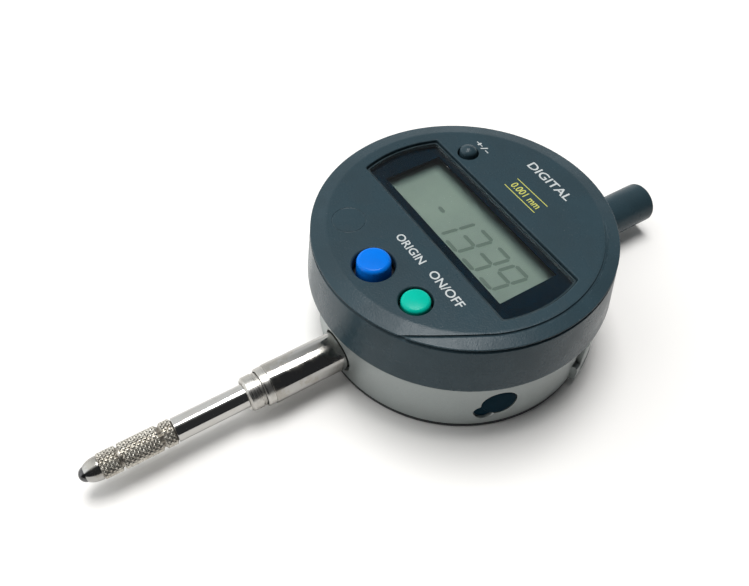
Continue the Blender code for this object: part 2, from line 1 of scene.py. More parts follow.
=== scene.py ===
"""Digital plunger indicator, lying on its flat back: its finished shapes and surfaces.

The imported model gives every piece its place. Sizes here are in millimetres, and the shape
functions turn them into metres. +Z is the way the display faces, -Y is the way the spindle
points, and +X is the way the display reads.
"""

from math import asin, cos, pi, radians, sin, tan

import bmesh
import bpy
import numpy as np
from mathutils import Matrix, Vector


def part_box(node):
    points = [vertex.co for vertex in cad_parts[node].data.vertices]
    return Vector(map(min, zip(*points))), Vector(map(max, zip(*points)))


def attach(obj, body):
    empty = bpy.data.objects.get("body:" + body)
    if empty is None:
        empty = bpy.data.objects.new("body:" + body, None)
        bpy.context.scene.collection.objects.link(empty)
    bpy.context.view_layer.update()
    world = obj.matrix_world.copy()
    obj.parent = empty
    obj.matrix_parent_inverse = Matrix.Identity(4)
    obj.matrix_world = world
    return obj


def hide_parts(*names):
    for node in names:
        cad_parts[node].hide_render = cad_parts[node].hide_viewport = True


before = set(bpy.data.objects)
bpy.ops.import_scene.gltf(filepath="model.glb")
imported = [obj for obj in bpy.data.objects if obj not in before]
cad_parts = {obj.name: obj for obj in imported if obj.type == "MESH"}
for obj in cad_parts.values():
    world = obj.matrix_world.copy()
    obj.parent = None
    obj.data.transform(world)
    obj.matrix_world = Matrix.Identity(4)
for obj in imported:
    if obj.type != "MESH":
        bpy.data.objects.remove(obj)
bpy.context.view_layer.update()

MM = 0.001


def span(node):
    """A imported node's lowest and highest corners, in millimetres."""
    low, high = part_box(node)
    return low / MM, high / MM


COVER_LOW, COVER_HIGH = span("front_cover")
CASE_LOW, CASE_HIGH = span("middle_case")
BACK_HIGH = span("back_cover")[1]
STEM_LOW, STEM_HIGH = span("stem")
NOSE_LOW, NOSE_HIGH = span("stem_nose")
SPINDLE_LOW, SPINDLE_HIGH = span("spindle")
SLEEVE_LOW, SLEEVE_HIGH = span("knurled_sleeve")
POINT_LOW, POINT_HIGH = span("contact_point")
BALL_LOW, BALL_HIGH = span("contact_ball")
CAP_LOW, CAP_HIGH = span("spindle_cap")
LENS_LOW, LENS_HIGH = span("display_window")
MASK_LOW, MASK_HIGH = span("display_mask")
LCD_LOW, LCD_HIGH = span("lcd_panel")
DOOR_LOW, DOOR_HIGH = span("battery_cover")

# Front cover
FACE = COVER_HIGH.z
SKIRT_RADIUS = COVER_HIGH.x
RIM_RADIUS = 29.0
RIM_DROP = 0.65              # from the face to the rim, down the sloped band
BAND_RADIUS = 26.0           # where the flat face turns into the sloped band
COVER_WALL = 2.1
LINE_RADIUS = 26.45          # the styling line's curved stretch
WINDOW_ARC = 23.8            # the window's two curved ends
WINDOW_GAP = 0.3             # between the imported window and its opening
BLANK_KEY = (-11.5, -18.4, 3.2)    # centre and radius of a ring for a key that isn't fitted
MASK_OPENING = ((-19.0, -5.3), (18.3, 7.5))
WELLS = {"origin_button": 3.95, "power_button": 3.12, "sign_button": 2.15}
WELL_LIPS = {"origin_button": 0.4, "power_button": 0.3, "sign_button": 0.25}
BUTTON_RADII = {"origin_button": 3.3, "power_button": 2.75, "sign_button": 1.8}
LCD_DROP = 1.4               # the display lies this far under its packed top

# Case
CASE_RADIUS = BACK_HIGH.x
PORT_ANGLE = -18.3
PORT_HEIGHT = 7.9
PORT_RADIUS = 3.4
TONGUE_TURN = 5.35           # from the port's middle to its lifting tongue, round the case
TONGUE_ACROSS = 2.72         # the same, in millimetres on the bung's flat face
TONGUE_DROP = 2.55
BATTERY_ANGLE = 35.0
BULGE_RADIUS = 29.7
BULGE_TOP = 13.5
BULGE_INNER = 26.6           # inside the case's wall, so that the two join
BULGE_END = 52.0
BULGE_STEPS = ((21.6, BULGE_TOP), (18.2, 5.6))    # start angle and top
DOOR_RADIUS = BULGE_RADIUS - 0.12
DOOR_BLOCK = ((-6.3, -3.9, -2.2), (6.3, 3.9, 0.0))
DOOR_OPENING = ((22.0, -6.55, 3.15), (34.0, 6.55, 11.55))
TRAY_BLOCK = ((13.6, -6.1, 4.3), (28.0, 6.1, 5.1))
PLUG_BLOCK = ((22.9, -1.6, 6.9), (27.2, 1.6, 8.9))
CAP_HOLE_RADIUS = 3.75
SCREW_CIRCLE = 24.0
SCREW_ANGLES = (62.0, 118.0, 218.0, 322.0)

# Stem and spindle
AXIS = (STEM_LOW.z + STEM_HIGH.z) / 2
STEM_RADIUS = (STEM_HIGH.x - STEM_LOW.x) / 2
SPINDLE_RADIUS = SPINDLE_HIGH.x
SLEEVE_RADIUS = SLEEVE_HIGH.x
KNURLS_ROUND = 15            # grooves each way round the sleeve
KNURL_PITCH = 0.98           # along the axis
KNURL_DEPTH = 0.25
KNURL_STAND = 0.10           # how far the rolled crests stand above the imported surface
SLEEVE_GROOVE = -65.05       # the V groove between the sleeve's two knurled stretches

ROUND = 256                  # facets round the case
FINE = 128                   # facets round a shaft


# Shapes

def rounded(corners, closed=False, steps=5):
    """Corners of (across, up, fillet) as points, with each corner rounded by its fillet."""
    points = []
    last = len(corners) - 1
    for i, (across, up, fillet) in enumerate(corners):
        here = Vector((across, up))
        if not fillet or (not closed and i in (0, last)):
            points.append(here)
            continue
        before = (Vector(corners[i - 1][:2]) - here).normalized()
        after = (Vector(corners[(i + 1) % len(corners)][:2]) - here).normalized()
        half = before.angle(after) / 2
        centre = here + (before + after).normalized() * fillet / sin(half)
        start = here + before * fillet / tan(half) - centre
        end = here + after * fillet / tan(half) - centre
        for k in range(steps + 1):
            points.append(centre + start.lerp(end, k / steps).normalized() * fillet)
    return points


def around(count):
    """Equal turns about a full circle, in radians."""
    return [2 * pi * k / count for k in range(count)]


def placed(name, data):
    """A new object in the scene, for a mesh, a curve, a lamp or a camera."""
    obj = bpy.data.objects.new(name, data)
    bpy.context.scene.collection.objects.link(obj)
    return obj


def placed_mesh(name, bm):
    """A new object for a finished bmesh, which is used up."""
    mesh = bpy.data.meshes.new(name)
    bm.to_mesh(mesh)
    bm.free()
    return placed(name, mesh)


def smooth(obj, angle=30.0):
    obj.data.shade_smooth()
    obj.data.set_sharp_from_angle(angle=radians(angle))
    return obj


def skin_over(name, rings, closed=False):
    """A solid over rings of (x, y, z) points. A ring of one point is a tip."""
    points = []
    faces = []
    starts = []
    for ring in rings:
        starts.append(len(points))
        points.extend(ring)
    pairs = [(i, i + 1) for i in range(len(rings) - 1)]
    if closed:
        pairs.append((len(rings) - 1, 0))
    for a, b in pairs:
        here = starts[a]
        there = starts[b]
        count = max(len(rings[a]), len(rings[b]))
        for i in range(count):
            j = (i + 1) % count
            if len(rings[a]) == 1:
                faces.append((here, there + j, there + i))
            elif len(rings[b]) == 1:
                faces.append((here + i, here + j, there))
            else:
                faces.append((here + i, here + j, there + j, there + i))
    if not closed:
        for start, ring in ((starts[0], rings[0]), (starts[-1], rings[-1])):
            if len(ring) > 1:
                faces.append(tuple(range(start, start + len(ring))))
    mesh = bpy.data.meshes.new(name)
    mesh.from_pydata([Vector(p) * MM for p in points], [], faces)
    bm = bmesh.new()
    bm.from_mesh(mesh)
    bmesh.ops.recalc_face_normals(bm, faces=bm.faces)
    bm.to_mesh(mesh)
    bm.free()
    return placed(name, mesh)


def turned(name, corners, facets=FINE, closed=False, steps=5):
    """A piece turned about +Z from its (radius, height, fillet) corners."""
    turn = around(facets)
    rings = []
    for radius, height in rounded(corners, closed, steps):
        if radius < 0.000001:
            rings.append([(0.0, 0.0, height)])
        else:
            rings.append([(radius * cos(a), radius * sin(a), height) for a in turn])
    return smooth(skin_over(name, rings, closed))


def cylinder(name, radius, top, bottom, facets):
    """A plain cylinder about +Z, mostly to drill with."""
    corners = [(0.0, top, 0.0), (radius, top, 0.0), (radius, bottom, 0.0), (0.0, bottom, 0.0)]
    return turned(name, corners, facets)


def block(name, low, high, bevel=0.15, segments=2):
    """A block between two corners, with its edges rounded."""
    bm = bmesh.new()
    size = [(b - a) * MM for a, b in zip(low, high)]
    bmesh.ops.create_cube(bm, size=1.0, matrix=Matrix.Diagonal((*size, 1.0)))
    if bevel:
        bmesh.ops.bevel(
            bm, geom=bm.edges[:], offset=bevel * MM, segments=segments, profile=0.5, affect="EDGES"
        )
    obj = placed_mesh(name, bm)
    moved(obj, *[(a + b) / 2 for a, b in zip(low, high)])
    return smooth(obj)


def swept(name, path, radius, sides=10):
    """A round tool swept along a path."""
    rings = []
    for i, point in enumerate(path):
        ahead = Vector(path[min(i + 1, len(path) - 1)]) - Vector(path[max(i - 1, 0)])
        side = ahead.cross(Vector((0.0, 0.0, 1.0))).normalized()
        up = side.cross(ahead).normalized()
        rings.append([Vector(point) + (side * cos(a) + up * sin(a)) * radius for a in around(sides)])
    return skin_over(name, rings)


def moved(obj, x=0.0, y=0.0, z=0.0):
    obj.data.transform(Matrix.Translation(Vector((x, y, z)) * MM))
    return obj


def along_stem(obj):
    """Lay a turned piece on the spindle's axis, so that its heights become +Y."""
    obj.data.transform(Matrix.Rotation(-pi / 2, 4, "X"))
    return moved(obj, z=AXIS)


def swung(obj, angle):
    """Swing a piece that was made along +X round the case's middle."""
    obj.data.transform(Matrix.Rotation(radians(angle), 4, "Z"))
    return obj


def wrapped(obj, angle, height, radius):
    """Bend a flat piece round the case: x goes round it, y up it, and z out of it."""
    for vertex in obj.data.vertices:
        across, up, out = vertex.co / MM
        turn = radians(angle) + across / radius
        reach = radius + out
        vertex.co = Vector((reach * cos(turn), reach * sin(turn), height + up)) * MM
    return obj


def finished_mesh(obj):
    """The mesh that an object's modifiers or its type make."""
    bpy.context.view_layer.update()
    evaluated = obj.evaluated_get(bpy.context.evaluated_depsgraph_get())
    return bpy.data.meshes.new_from_object(evaluated)


def settle(obj):
    """Make an object's modifiers part of its mesh."""
    mesh = finished_mesh(obj)
    obj.modifiers.clear()
    obj.data = mesh
    return obj


def finer(obj, levels):
    """Divide a flat piece's faces, so that it can bend."""
    step = obj.modifiers.new("finer", "SUBSURF")
    step.subdivision_type = "SIMPLE"
    step.levels = levels
    return settle(obj)


def carve(obj, tool, operation="DIFFERENCE"):
    """Cut a tool from a piece, or join it on. The tool is used up."""
    step = obj.modifiers.new("carve", "BOOLEAN")
    step.operation = operation
    step.solver = "EXACT"
    step.object = tool
    settle(obj)
    bpy.data.objects.remove(tool, do_unlink=True)
    return obj


def even(obj, angle=30.0):
    """Keep the large flat faces flat where they meet rounded edges."""
    smooth(obj, angle)
    step = obj.modifiers.new("even_normals", "WEIGHTED_NORMAL")
    step.mode = "FACE_AREA"
    step.keep_sharp = True
    return obj


def fitted(obj, skin, body, slot, *nodes):
    """Give a piece its finish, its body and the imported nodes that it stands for."""
    obj.data.materials.clear()
    obj.data.materials.append(skin)
    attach(obj, body)
    if nodes:
        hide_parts(*nodes)
    return obj


def fitted_shaft(name, corners, skin, body, slot, node, facets=FINE, closed=False):
    """Turn a piece on the spindle's axis and finish it."""
    return fitted(along_stem(turned(name, corners, facets, closed)), skin, body, slot, node)


def polar(radius, angle):
    return radius * cos(radians(angle)), radius * sin(radians(angle))


# Shader parts that several finishes share

def feed(tree, socket, value):
    if isinstance(value, bpy.types.NodeSocket):
        tree.links.new(value, socket)
    else:
        socket.default_value = value


def add(tree, kind, inputs=None, **settings):
    """A shader node with its settings and inputs. An input is a value or another's output."""
    made = tree.nodes.new("ShaderNode" + kind)
    for name, value in settings.items():
        setattr(made, name, value)
    for name, value in (inputs or {}).items():
        feed(tree, made.inputs[name], value)
    return made


def calc(tree, operation, *values):
    made = add(tree, "Math", operation=operation)
    for i, value in enumerate(values):
        feed(tree, made.inputs[i], value)
    return made.outputs[0]


def times(tree, *values):
    return calc(tree, "MULTIPLY", *values)


def ramp(tree, value, low, high, start=0.0, end=1.0):
    """A value's stretch from low to high, smoothly spread from start to end."""
    inputs = {"Value": value, "From Min": low, "From Max": high, "To Min": start, "To Max": end}
    return add(tree, "MapRange", inputs, interpolation_type="SMOOTHSTEP").outputs[0]


def blend(tree, amount, first, second):
    """One colour over another by a mask."""
    made = add(tree, "Mix", data_type="RGBA")
    feed(tree, made.inputs[0], amount)
    for socket, value in ((made.inputs[6], first), (made.inputs[7], second)):
        feed(tree, socket, value if isinstance(value, bpy.types.NodeSocket) else (*value, 1.0))
    return made.outputs[2]


def place_in_mm(tree, size):
    """The piece's own coordinates, with one unit for every size millimetres."""
    place = add(tree, "TexCoord").outputs["Object"]
    scale = calc(tree, "DIVIDE", 1.0 / MM, size)
    made = add(tree, "VectorMath", {"Scale": scale}, operation="SCALE")
    tree.links.new(place, made.inputs[0])
    return made.outputs[0]


def noise(tree, vector, detail=2.0, rough=0.5):
    inputs = {"Vector": vector, "Scale": 1.0, "Detail": detail, "Roughness": rough}
    return add(tree, "TexNoise", inputs).outputs["Fac"]


def shared_group(name, inputs, output):
    """An empty shader group with number inputs and one number output."""
    made = bpy.data.node_groups.new(name, "ShaderNodeTree")
    for label, value in inputs.items():
        socket = made.interface.new_socket(label, in_out="INPUT", socket_type="NodeSocketFloat")
        socket.default_value = value
    made.interface.new_socket(output, in_out="OUTPUT", socket_type="NodeSocketFloat")
    entry = made.nodes.new("NodeGroupInput")
    leave = made.nodes.new("NodeGroupOutput")
    return made, entry.outputs, leave.inputs[0]


def grain_group():
    """The fine pebbling that a mould leaves on plastic."""
    group, given, result = shared_group("moulded_grain", {"Cell": 0.3}, "Height")
    cells = noise(group, place_in_mm(group, given["Cell"]), 2.0, 0.6)
    group.links.new(ramp(group, cells, 0.3, 0.7), result)
    return group


def smudge_group():
    """Broad patches where hands have left a surface more or less shiny."""
    group, given, result = shared_group("smudges", {"Size": 8.0}, "Patch")
    patches = noise(group, place_in_mm(group, given["Size"]), 4.0, 0.6)
    group.links.new(ramp(group, patches, 0.35, 0.65), result)
    return group


def wear_group():
    """Rubbed places along the edges, broken up so that they are not a clean outline."""
    group, given, result = shared_group("edge_wear", {"Width": 0.3, "Patch": 2.0}, "Mask")
    width = times(group, given["Width"], MM)
    soft = add(group, "Bevel", {"Radius": width}, samples=4).outputs[0]
    hard = add(group, "NewGeometry").outputs["Normal"]
    turn = add(group, "VectorMath", operation="DOT_PRODUCT")
    group.links.new(soft, turn.inputs[0])
    group.links.new(hard, turn.inputs[1])
    edge = ramp(group, turn.outputs["Value"], 0.985, 0.86)
    patch = ramp(group, noise(group, place_in_mm(group, given["Patch"]), 5.0, 0.7), 0.42, 0.6)
    group.links.new(times(group, edge, patch), result)
    return group


def dust_group():
    """Specks and lint that settle on what faces up."""
    group, given, result = shared_group("dust", {"Speck": 0.3, "Amount": 0.5}, "Mask")
    upward = add(group, "SeparateXYZ")
    group.links.new(add(group, "NewGeometry").outputs["Normal"], upward.inputs[0])
    facing = ramp(group, upward.outputs["Z"], 0.2, 0.9)
    specks = ramp(group, noise(group, place_in_mm(group, given["Speck"]), 1.0, 0.5), 0.70, 0.78)
    drift = ramp(group, noise(group, place_in_mm(group, 6.0), 3.0, 0.6), 0.4, 0.7)
    mask = times(group, times(group, facing, specks), drift)
    group.links.new(times(group, mask, given["Amount"]), result)
    return group


def scratch_group():
    """Hairline scratches in two directions."""
    group, given, result = shared_group("hairlines", {"Length": 6.0, "Amount": 0.5}, "Mask")
    place = place_in_mm(group, given["Length"])
    lines = None
    for turn in (0.5, -0.9):
        spread = add(group, "Mapping", {"Rotation": (0.2, 0.3, turn), "Scale": (1.0, 45.0, 45.0)})
        group.links.new(place, spread.inputs["Vector"])
        line = ramp(group, noise(group, spread.outputs[0], 1.0, 0.5), 0.71, 0.76)
        lines = line if lines is None else calc(group, "MAXIMUM", lines, line)
    group.links.new(times(group, lines, given["Amount"]), result)
    return group


def turning_group():
    """Fine rings that a lathe or a polishing belt leaves round a shaft along Y."""
    group, given, result = shared_group("turning_rings", {"Pitch": 0.08}, "Height")
    place = place_in_mm(group, given["Pitch"])
    stretch = add(group, "VectorMath", operation="MULTIPLY")
    group.links.new(place, stretch.inputs[0])
    stretch.inputs[1].default_value = (0.02, 1.0, 0.02)
    group.links.new(noise(group, stretch.outputs[0], 3.0, 0.6), result)
    return group


def flake_group():
    """The glitter of metal flakes in paint."""
    group, given, result = shared_group("paint_flakes", {"Flake": 0.15}, "Glint")
    cells = add(group, "TexVoronoi", {"Scale": 1.0})
    group.links.new(place_in_mm(group, given["Flake"]), cells.inputs["Vector"])
    shade = add(group, "SeparateColor")
    group.links.new(cells.outputs["Color"], shade.inputs[0])
    group.links.new(shade.outputs[0], result)
    return group


def recess_group():
    """How far a place lies under a shaft's outer surface: the mask for painted shade and grime in its
    hollows.
    """
    group, given, result = shared_group("recess_round_shaft", {"Radius": 2.4, "Depth": 0.2}, "Mask")
    place = add(group, "SeparateXYZ")
    group.links.new(place_in_mm(group, 1.0), place.inputs[0])
    height = calc(group, "SUBTRACT", place.outputs["Z"], AXIS)
    across = times(group, place.outputs["X"], place.outputs["X"])
    square = calc(group, "ADD", across, times(group, height, height))
    under = calc(group, "SUBTRACT", given["Radius"], calc(group, "SQRT", square))
    share = calc(group, "DIVIDE", under, given["Depth"])
    group.links.new(ramp(group, share, 0.25, 1.0), result)
    return group


GRAIN = grain_group()
SMUDGE = smudge_group()
WEAR = wear_group()
DUST = dust_group()
HAIRLINES = scratch_group()
TURNING = turning_group()
FLAKE = flake_group()
RECESS = recess_group()


def use(tree, group, **inputs):
    """Place a shared group and return its output."""
    made = tree.nodes.new("ShaderNodeGroup")
    made.node_tree = group
    for label, value in inputs.items():
        feed(tree, made.inputs[label], value)
    return made.outputs[0]


def finish_named(name, colour, roughness, metallic=0.0, shine=0.5):
    """A new finish: its nodes and its Principled shader. Shine is the specular level."""
    made = bpy.data.materials.new(name)
    made.use_nodes = True
    tree = made.node_tree
    shader = tree.nodes["Principled BSDF"]
    shader.inputs["Base Color"].default_value = (*colour, 1.0)
    shader.inputs["Roughness"].default_value = roughness
    shader.inputs["Metallic"].default_value = metallic
    shader.inputs["Specular IOR Level"].default_value = shine
    return made, tree, shader


def surface(tree, shader, base, gloss=None):
    """Wire a colour into a finish, and a roughness where it changes over the surface."""
    tree.links.new(base, shader.inputs["Base Color"])
    if gloss is not None:
        tree.links.new(gloss, shader.inputs["Roughness"])


def relief(tree, shader, height, depth):
    """Bump of a depth in millimetres."""
    bump = add(tree, "Bump", {"Height": height, "Distance": depth * MM})
    tree.links.new(bump.outputs[0], shader.inputs["Normal"])


# Finishes

def moulded_plastic(
    name, colour, rubbed, roughness, cell=0.35, depth=0.012, dust=0.15, wear=0.35, shine=0.3
):
    """Moulded plastic: fine grain, rubbed edges, handling marks and a little dust."""
    made, tree, shader = finish_named(name, colour, roughness, shine=shine)
    patch = use(tree, SMUDGE, Size=9.0)
    lines = use(tree, HAIRLINES, Length=5.0, Amount=0.5)
    edge = times(tree, use(tree, WEAR, Width=0.35, Patch=1.6), wear)
    specks = use(tree, DUST, Speck=0.28, Amount=dust)
    lighter = tuple(c * 1.16 + 0.002 for c in colour)
    base = blend(tree, patch, colour, lighter)
    base = blend(tree, edge, base, rubbed)
    base = blend(tree, times(tree, lines, 0.12), base, rubbed)
    base = blend(tree, specks, base, (0.42, 0.42, 0.40))
    gloss = ramp(tree, patch, 0.0, 1.0, roughness + 0.05, roughness - 0.05)
    gloss = calc(tree, "ADD", gloss, times(tree, edge, -0.1))
    gloss = calc(tree, "ADD", gloss, times(tree, specks, 0.4))
    surface(tree, shader, base, gloss)
    relief(tree, shader, use(tree, GRAIN, Cell=cell), depth)
    return made


def silver_paint():
    """Metallic paint over the cast case: flakes, a faint texture and rubbed edges."""
    made, tree, shader = finish_named("silver_paint", (0.42, 0.43, 0.44), 0.42, 0.55)
    glint = use(tree, FLAKE, Flake=0.16)
    patch = use(tree, SMUDGE, Size=7.0)
    edge = use(tree, WEAR, Width=0.25, Patch=1.2)
    base = blend(tree, glint, (0.30, 0.33, 0.325), (0.335, 0.365, 0.36))
    base = blend(tree, times(tree, patch, 0.35), base, (0.27, 0.29, 0.285))
    base = blend(tree, times(tree, edge, 0.6), base, (0.60, 0.59, 0.57))
    surface(tree, shader, base, ramp(tree, patch, 0.0, 1.0, 0.48, 0.38))
    relief(tree, shader, use(tree, GRAIN, Cell=0.5), 0.006)
    return made


def polished_steel(name="polished_steel", bright=0.38, stain=0.35):
    """Ground and polished steel: fine rings, hairlines and a light brown stain."""
    clean = (bright, bright * 0.985, bright * 0.95)
    made, tree, shader = finish_named(name, clean, 0.08, 1.0)
    rings = use(tree, TURNING, Pitch=0.10)
    patch = use(tree, SMUDGE, Size=3.2)
    lines = use(tree, HAIRLINES, Length=4.0, Amount=0.8)
    tarnish = times(tree, ramp(tree, patch, 0.45, 1.0), stain)
    base = blend(tree, tarnish, clean, (bright * 0.7, bright * 0.62, bright * 0.48))
    base = blend(tree, times(tree, lines, 0.35), base, tuple(c * 0.6 for c in clean))
    gloss = ramp(tree, rings, 0.3, 0.7, 0.05, 0.11)
    surface(tree, shader, base, calc(tree, "ADD", gloss, times(tree, tarnish, 0.35)))
    relief(tree, shader, rings, 0.0012)
    return made


def machined_steel():
    """Turned steel left as it came from the lathe."""
    made, tree, shader = finish_named("machined_steel", (0.66, 0.65, 0.62), 0.28, 1.0)
    rings = use(tree, TURNING, Pitch=0.16)
    patch = use(tree, SMUDGE, Size=2.0)
    base = blend(tree, patch, (0.50, 0.49, 0.465), (0.42, 0.405, 0.375))
    surface(tree, shader, base, ramp(tree, rings, 0.3, 0.7, 0.21, 0.37))
    relief(tree, shader, rings, 0.004)
    return made


def knurled_steel():
    """Knurled steel, bright on its diamonds, with painted shade and grime between them."""
    made, tree, shader = finish_named("knurled_steel", (0.72, 0.70, 0.66), 0.2, 1.0)
    hollow_mask = use(tree, RECESS, Radius=SLEEVE_RADIUS + KNURL_STAND, Depth=0.4)
    patch = use(tree, SMUDGE, Size=1.5)
    shade_and_grime = times(tree, hollow_mask, ramp(tree, patch, 0.0, 1.0, 0.55, 1.0))
    base = blend(tree, patch, (0.55, 0.525, 0.47), (0.43, 0.40, 0.35))
    # painted shade and grime: darker and rougher in the hollows between the diamonds
    base = blend(tree, times(tree, shade_and_grime, 0.6), base, (0.17, 0.155, 0.14))
    surface(tree, shader, base, ramp(tree, shade_and_grime, 0.0, 1.0, 0.28, 0.5))
    relief(tree, shader, use(tree, GRAIN, Cell=0.12), 0.003)
    return made


def ground_carbide():
    """Dark ground carbide, with fine rings."""
    colour = (0.07, 0.07, 0.072)
    made, tree, shader = finish_named("carbide", colour, 0.2, 1.0)
    rings = use(tree, TURNING, Pitch=0.12)
    patch = use(tree, SMUDGE, Size=0.9)
    base = blend(tree, patch, colour, tuple(c * 1.7 for c in colour))
    surface(tree, shader, base, ramp(tree, rings, 0.3, 0.7, 0.14, 0.28))
    relief(tree, shader, rings, 0.002)
    return made


def clear_lens():
    """The clear moulded window. Lamps shine through it."""
    made, tree, shader = finish_named("clear_lens", (0.93, 0.96, 0.95), 0.03)
    shader.inputs["Transmission Weight"].default_value = 1.0
    shader.inputs["IOR"].default_value = 1.47
    patch = use(tree, SMUDGE, Size=6.0)
    feed(tree, shader.inputs["Roughness"], ramp(tree, patch, 0.3, 1.0, 0.0, 0.012))
    through = add(tree, "BsdfTransparent", {"Color": (0.93, 0.96, 0.95, 1.0)})
    lamp = add(tree, "LightPath").outputs["Is Shadow Ray"]
    both = add(tree, "MixShader")
    feed(tree, both.inputs[0], lamp)
    tree.links.new(shader.outputs[0], both.inputs[1])
    tree.links.new(through.outputs[0], both.inputs[2])
    tree.links.new(both.outputs[0], tree.nodes["Material Output"].inputs["Surface"])
    return made


def smoky_rim():
    """The window's moulded edge, too thick to see through."""
    made, tree, shader = finish_named("smoky_rim", (0.010, 0.018, 0.024), 0.15)
    patch = use(tree, SMUDGE, Size=3.0)
    base = blend(tree, patch, (0.024, 0.038, 0.044), (0.030, 0.046, 0.052))
    surface(tree, shader, base, ramp(tree, patch, 0.0, 1.0, 0.12, 0.2))
    return made


def window_mask():
    """Dark print on the back of the window."""
    made, tree, shader = finish_named("window_mask", (0.0, 0.004, 0.008), 0.8, shine=0.0)
    print_grain = use(tree, GRAIN, Cell=0.3)
    base = blend(tree, print_grain, (0.0, 0.0035, 0.0075), (0.0, 0.0045, 0.009))
    surface(tree, shader, base, ramp(tree, print_grain, 0.0, 1.0, 0.75, 0.85))
    return made


def lcd_glass():
    """The display's grey-green reflector, with painted shade along its left and upper edges, where the mask
    above it casts its shadow.
    """
    made, tree, shader = finish_named("lcd_glass", (0.12, 0.15, 0.128), 0.7, shine=0.1)
    sparkle = use(tree, GRAIN, Cell=0.09)
    patch = use(tree, SMUDGE, Size=14.0)
    base = blend(tree, patch, (0.104, 0.128, 0.112), (0.116, 0.142, 0.122))
    base = blend(tree, times(tree, sparkle, 0.2), base, (0.09, 0.115, 0.10))
    place = add(tree, "SeparateXYZ", {"Vector": place_in_mm(tree, 1.0)})
    # painted shade: the mask's shadow, darker towards the opening's left and upper edges
    left = ramp(tree, place.outputs["X"], -19.2, -16.6, 0.3, 1.0)
    top = ramp(tree, place.outputs["Y"], 5.2, 7.6, 1.0, 0.35)
    base = blend(tree, times(tree, left, top), (0.012, 0.024, 0.028), base)
    surface(tree, shader, base, ramp(tree, sparkle, 0.0, 1.0, 0.6, 0.8))
    return made


def lcd_ink(name, colour, paler):
    """A display segment: the liquid crystal's speckle shows in it."""
    made, tree, shader = finish_named(name, colour, 0.7, shine=0.1)
    speckle = use(tree, GRAIN, Cell=0.08)
    base = blend(tree, speckle, colour, paler)
    surface(tree, shader, base, ramp(tree, speckle, 0.0, 1.0, 0.6, 0.8))
    return made


def printed_ink(name, colour):
    """Screen-printed ink, a little thin in places."""
    made, tree, shader = finish_named(name, colour, 0.5)
    thin = use(tree, GRAIN, Cell=0.16)
    worn = tuple(c * 0.72 + 0.02 for c in colour)
    surface(tree, shader, blend(tree, times(tree, thin, 0.5), colour, worn))
    relief(tree, shader, thin, 0.004)
    return made


def circuit_board_finish():
    """Green solder resist over copper tracks."""
    made, tree, shader = finish_named("solder_resist", (0.015, 0.12, 0.05), 0.35)
    sizes = {"Scale": 1.0, "Mortar Size": 0.06, "Brick Width": 2.3, "Row Height": 0.8}
    tracks = add(tree, "TexBrick", sizes)
    tree.links.new(place_in_mm(tree, 1.0), tracks.inputs["Vector"])
    base = blend(tree, tracks.outputs["Fac"], (0.012, 0.11, 0.045), (0.05, 0.24, 0.09))
    surface(tree, shader, base)
    relief(tree, shader, tracks.outputs["Fac"], 0.03)
    return made


def worn_metal(name, colour, darker, roughness):
    """Brass and plated parts inside the case."""
    made, tree, shader = finish_named(name, colour, roughness, 1.0)
    patch = use(tree, SMUDGE, Size=1.6)
    lines = use(tree, HAIRLINES, Length=2.5, Amount=0.7)
    base = blend(tree, patch, colour, darker)
    base = blend(tree, lines, base, tuple(c * 0.7 for c in darker))
    surface(tree, shader, base, ramp(tree, patch, 0.0, 1.0, roughness, roughness + 0.15))
    relief(tree, shader, use(tree, GRAIN, Cell=0.2), 0.004)
    return made


SLATE = moulded_plastic("slate_plastic", (0.022, 0.042, 0.053), (0.10, 0.13, 0.145), 0.28, shine=0.16)
BLACK = moulded_plastic("black_plastic", (0.005, 0.007, 0.009), (0.05, 0.055, 0.06), 0.45, 0.4, 0.02)
NAVY = moulded_plastic("port_rubber", (0.0, 0.013, 0.023), (0.0, 0.025, 0.035), 0.5, 0.25, 0.006, shine=0.02)
KEY_SURFACE = {"roughness": 0.25, "cell": 0.3, "depth": 0.003, "dust": 0.0, "wear": 0.25, "shine": 0.1}
BLUE = moulded_plastic("blue_plastic", (0.0, 0.14, 0.60), (0.0, 0.20, 0.75), **KEY_SURFACE)
GREEN = moulded_plastic("green_plastic", (0.0, 0.39, 0.285), (0.0, 0.50, 0.38), **KEY_SURFACE)
RUBBER = moulded_plastic("black_rubber", (0.012, 0.012, 0.012), (0.05, 0.05, 0.05), 0.75, 0.2, 0.02)
SILVER = silver_paint()
POLISHED = polished_steel()
SPINDLE_STEEL = polished_steel("spindle_steel", 0.50, 0.12)
MACHINED = machined_steel()
KNURLED = knurled_steel()
CARBIDE = ground_carbide()
BRASS = worn_metal("brass", (0.66, 0.47, 0.18), (0.40, 0.26, 0.10), 0.25)
PLATED = worn_metal("plated_steel", (0.60, 0.59, 0.56), (0.42, 0.40, 0.37), 0.28)
LENS = clear_lens()
LENS_RIM = smoky_rim()
MASK = window_mask()
LCD = lcd_glass()
SEGMENT = lcd_ink("lcd_segment", (0.056, 0.075, 0.064), (0.066, 0.086, 0.073))
SEGMENT_SHADOW = lcd_ink("lcd_segment_shadow", (0.10, 0.127, 0.108), (0.108, 0.136, 0.116))
WHITE_INK = printed_ink("white_ink", (0.50, 0.53, 0.53))
YELLOW_INK = printed_ink("yellow_ink", (0.50, 0.50, 0.09))
BOARD = circuit_board_finish()


# Front cover and what stands in it

def button_place(name):
    low, high = span(name)
    return (low.x + high.x) / 2, (low.y + high.y) / 2, low.z, high.z


def cover_height(radius):
    """The cover's top surface: flat, then down the sloped band."""
    out = max(0.0, radius - BAND_RADIUS)
    return FACE - RIM_DROP * out / (RIM_RADIUS - BAND_RADIUS)


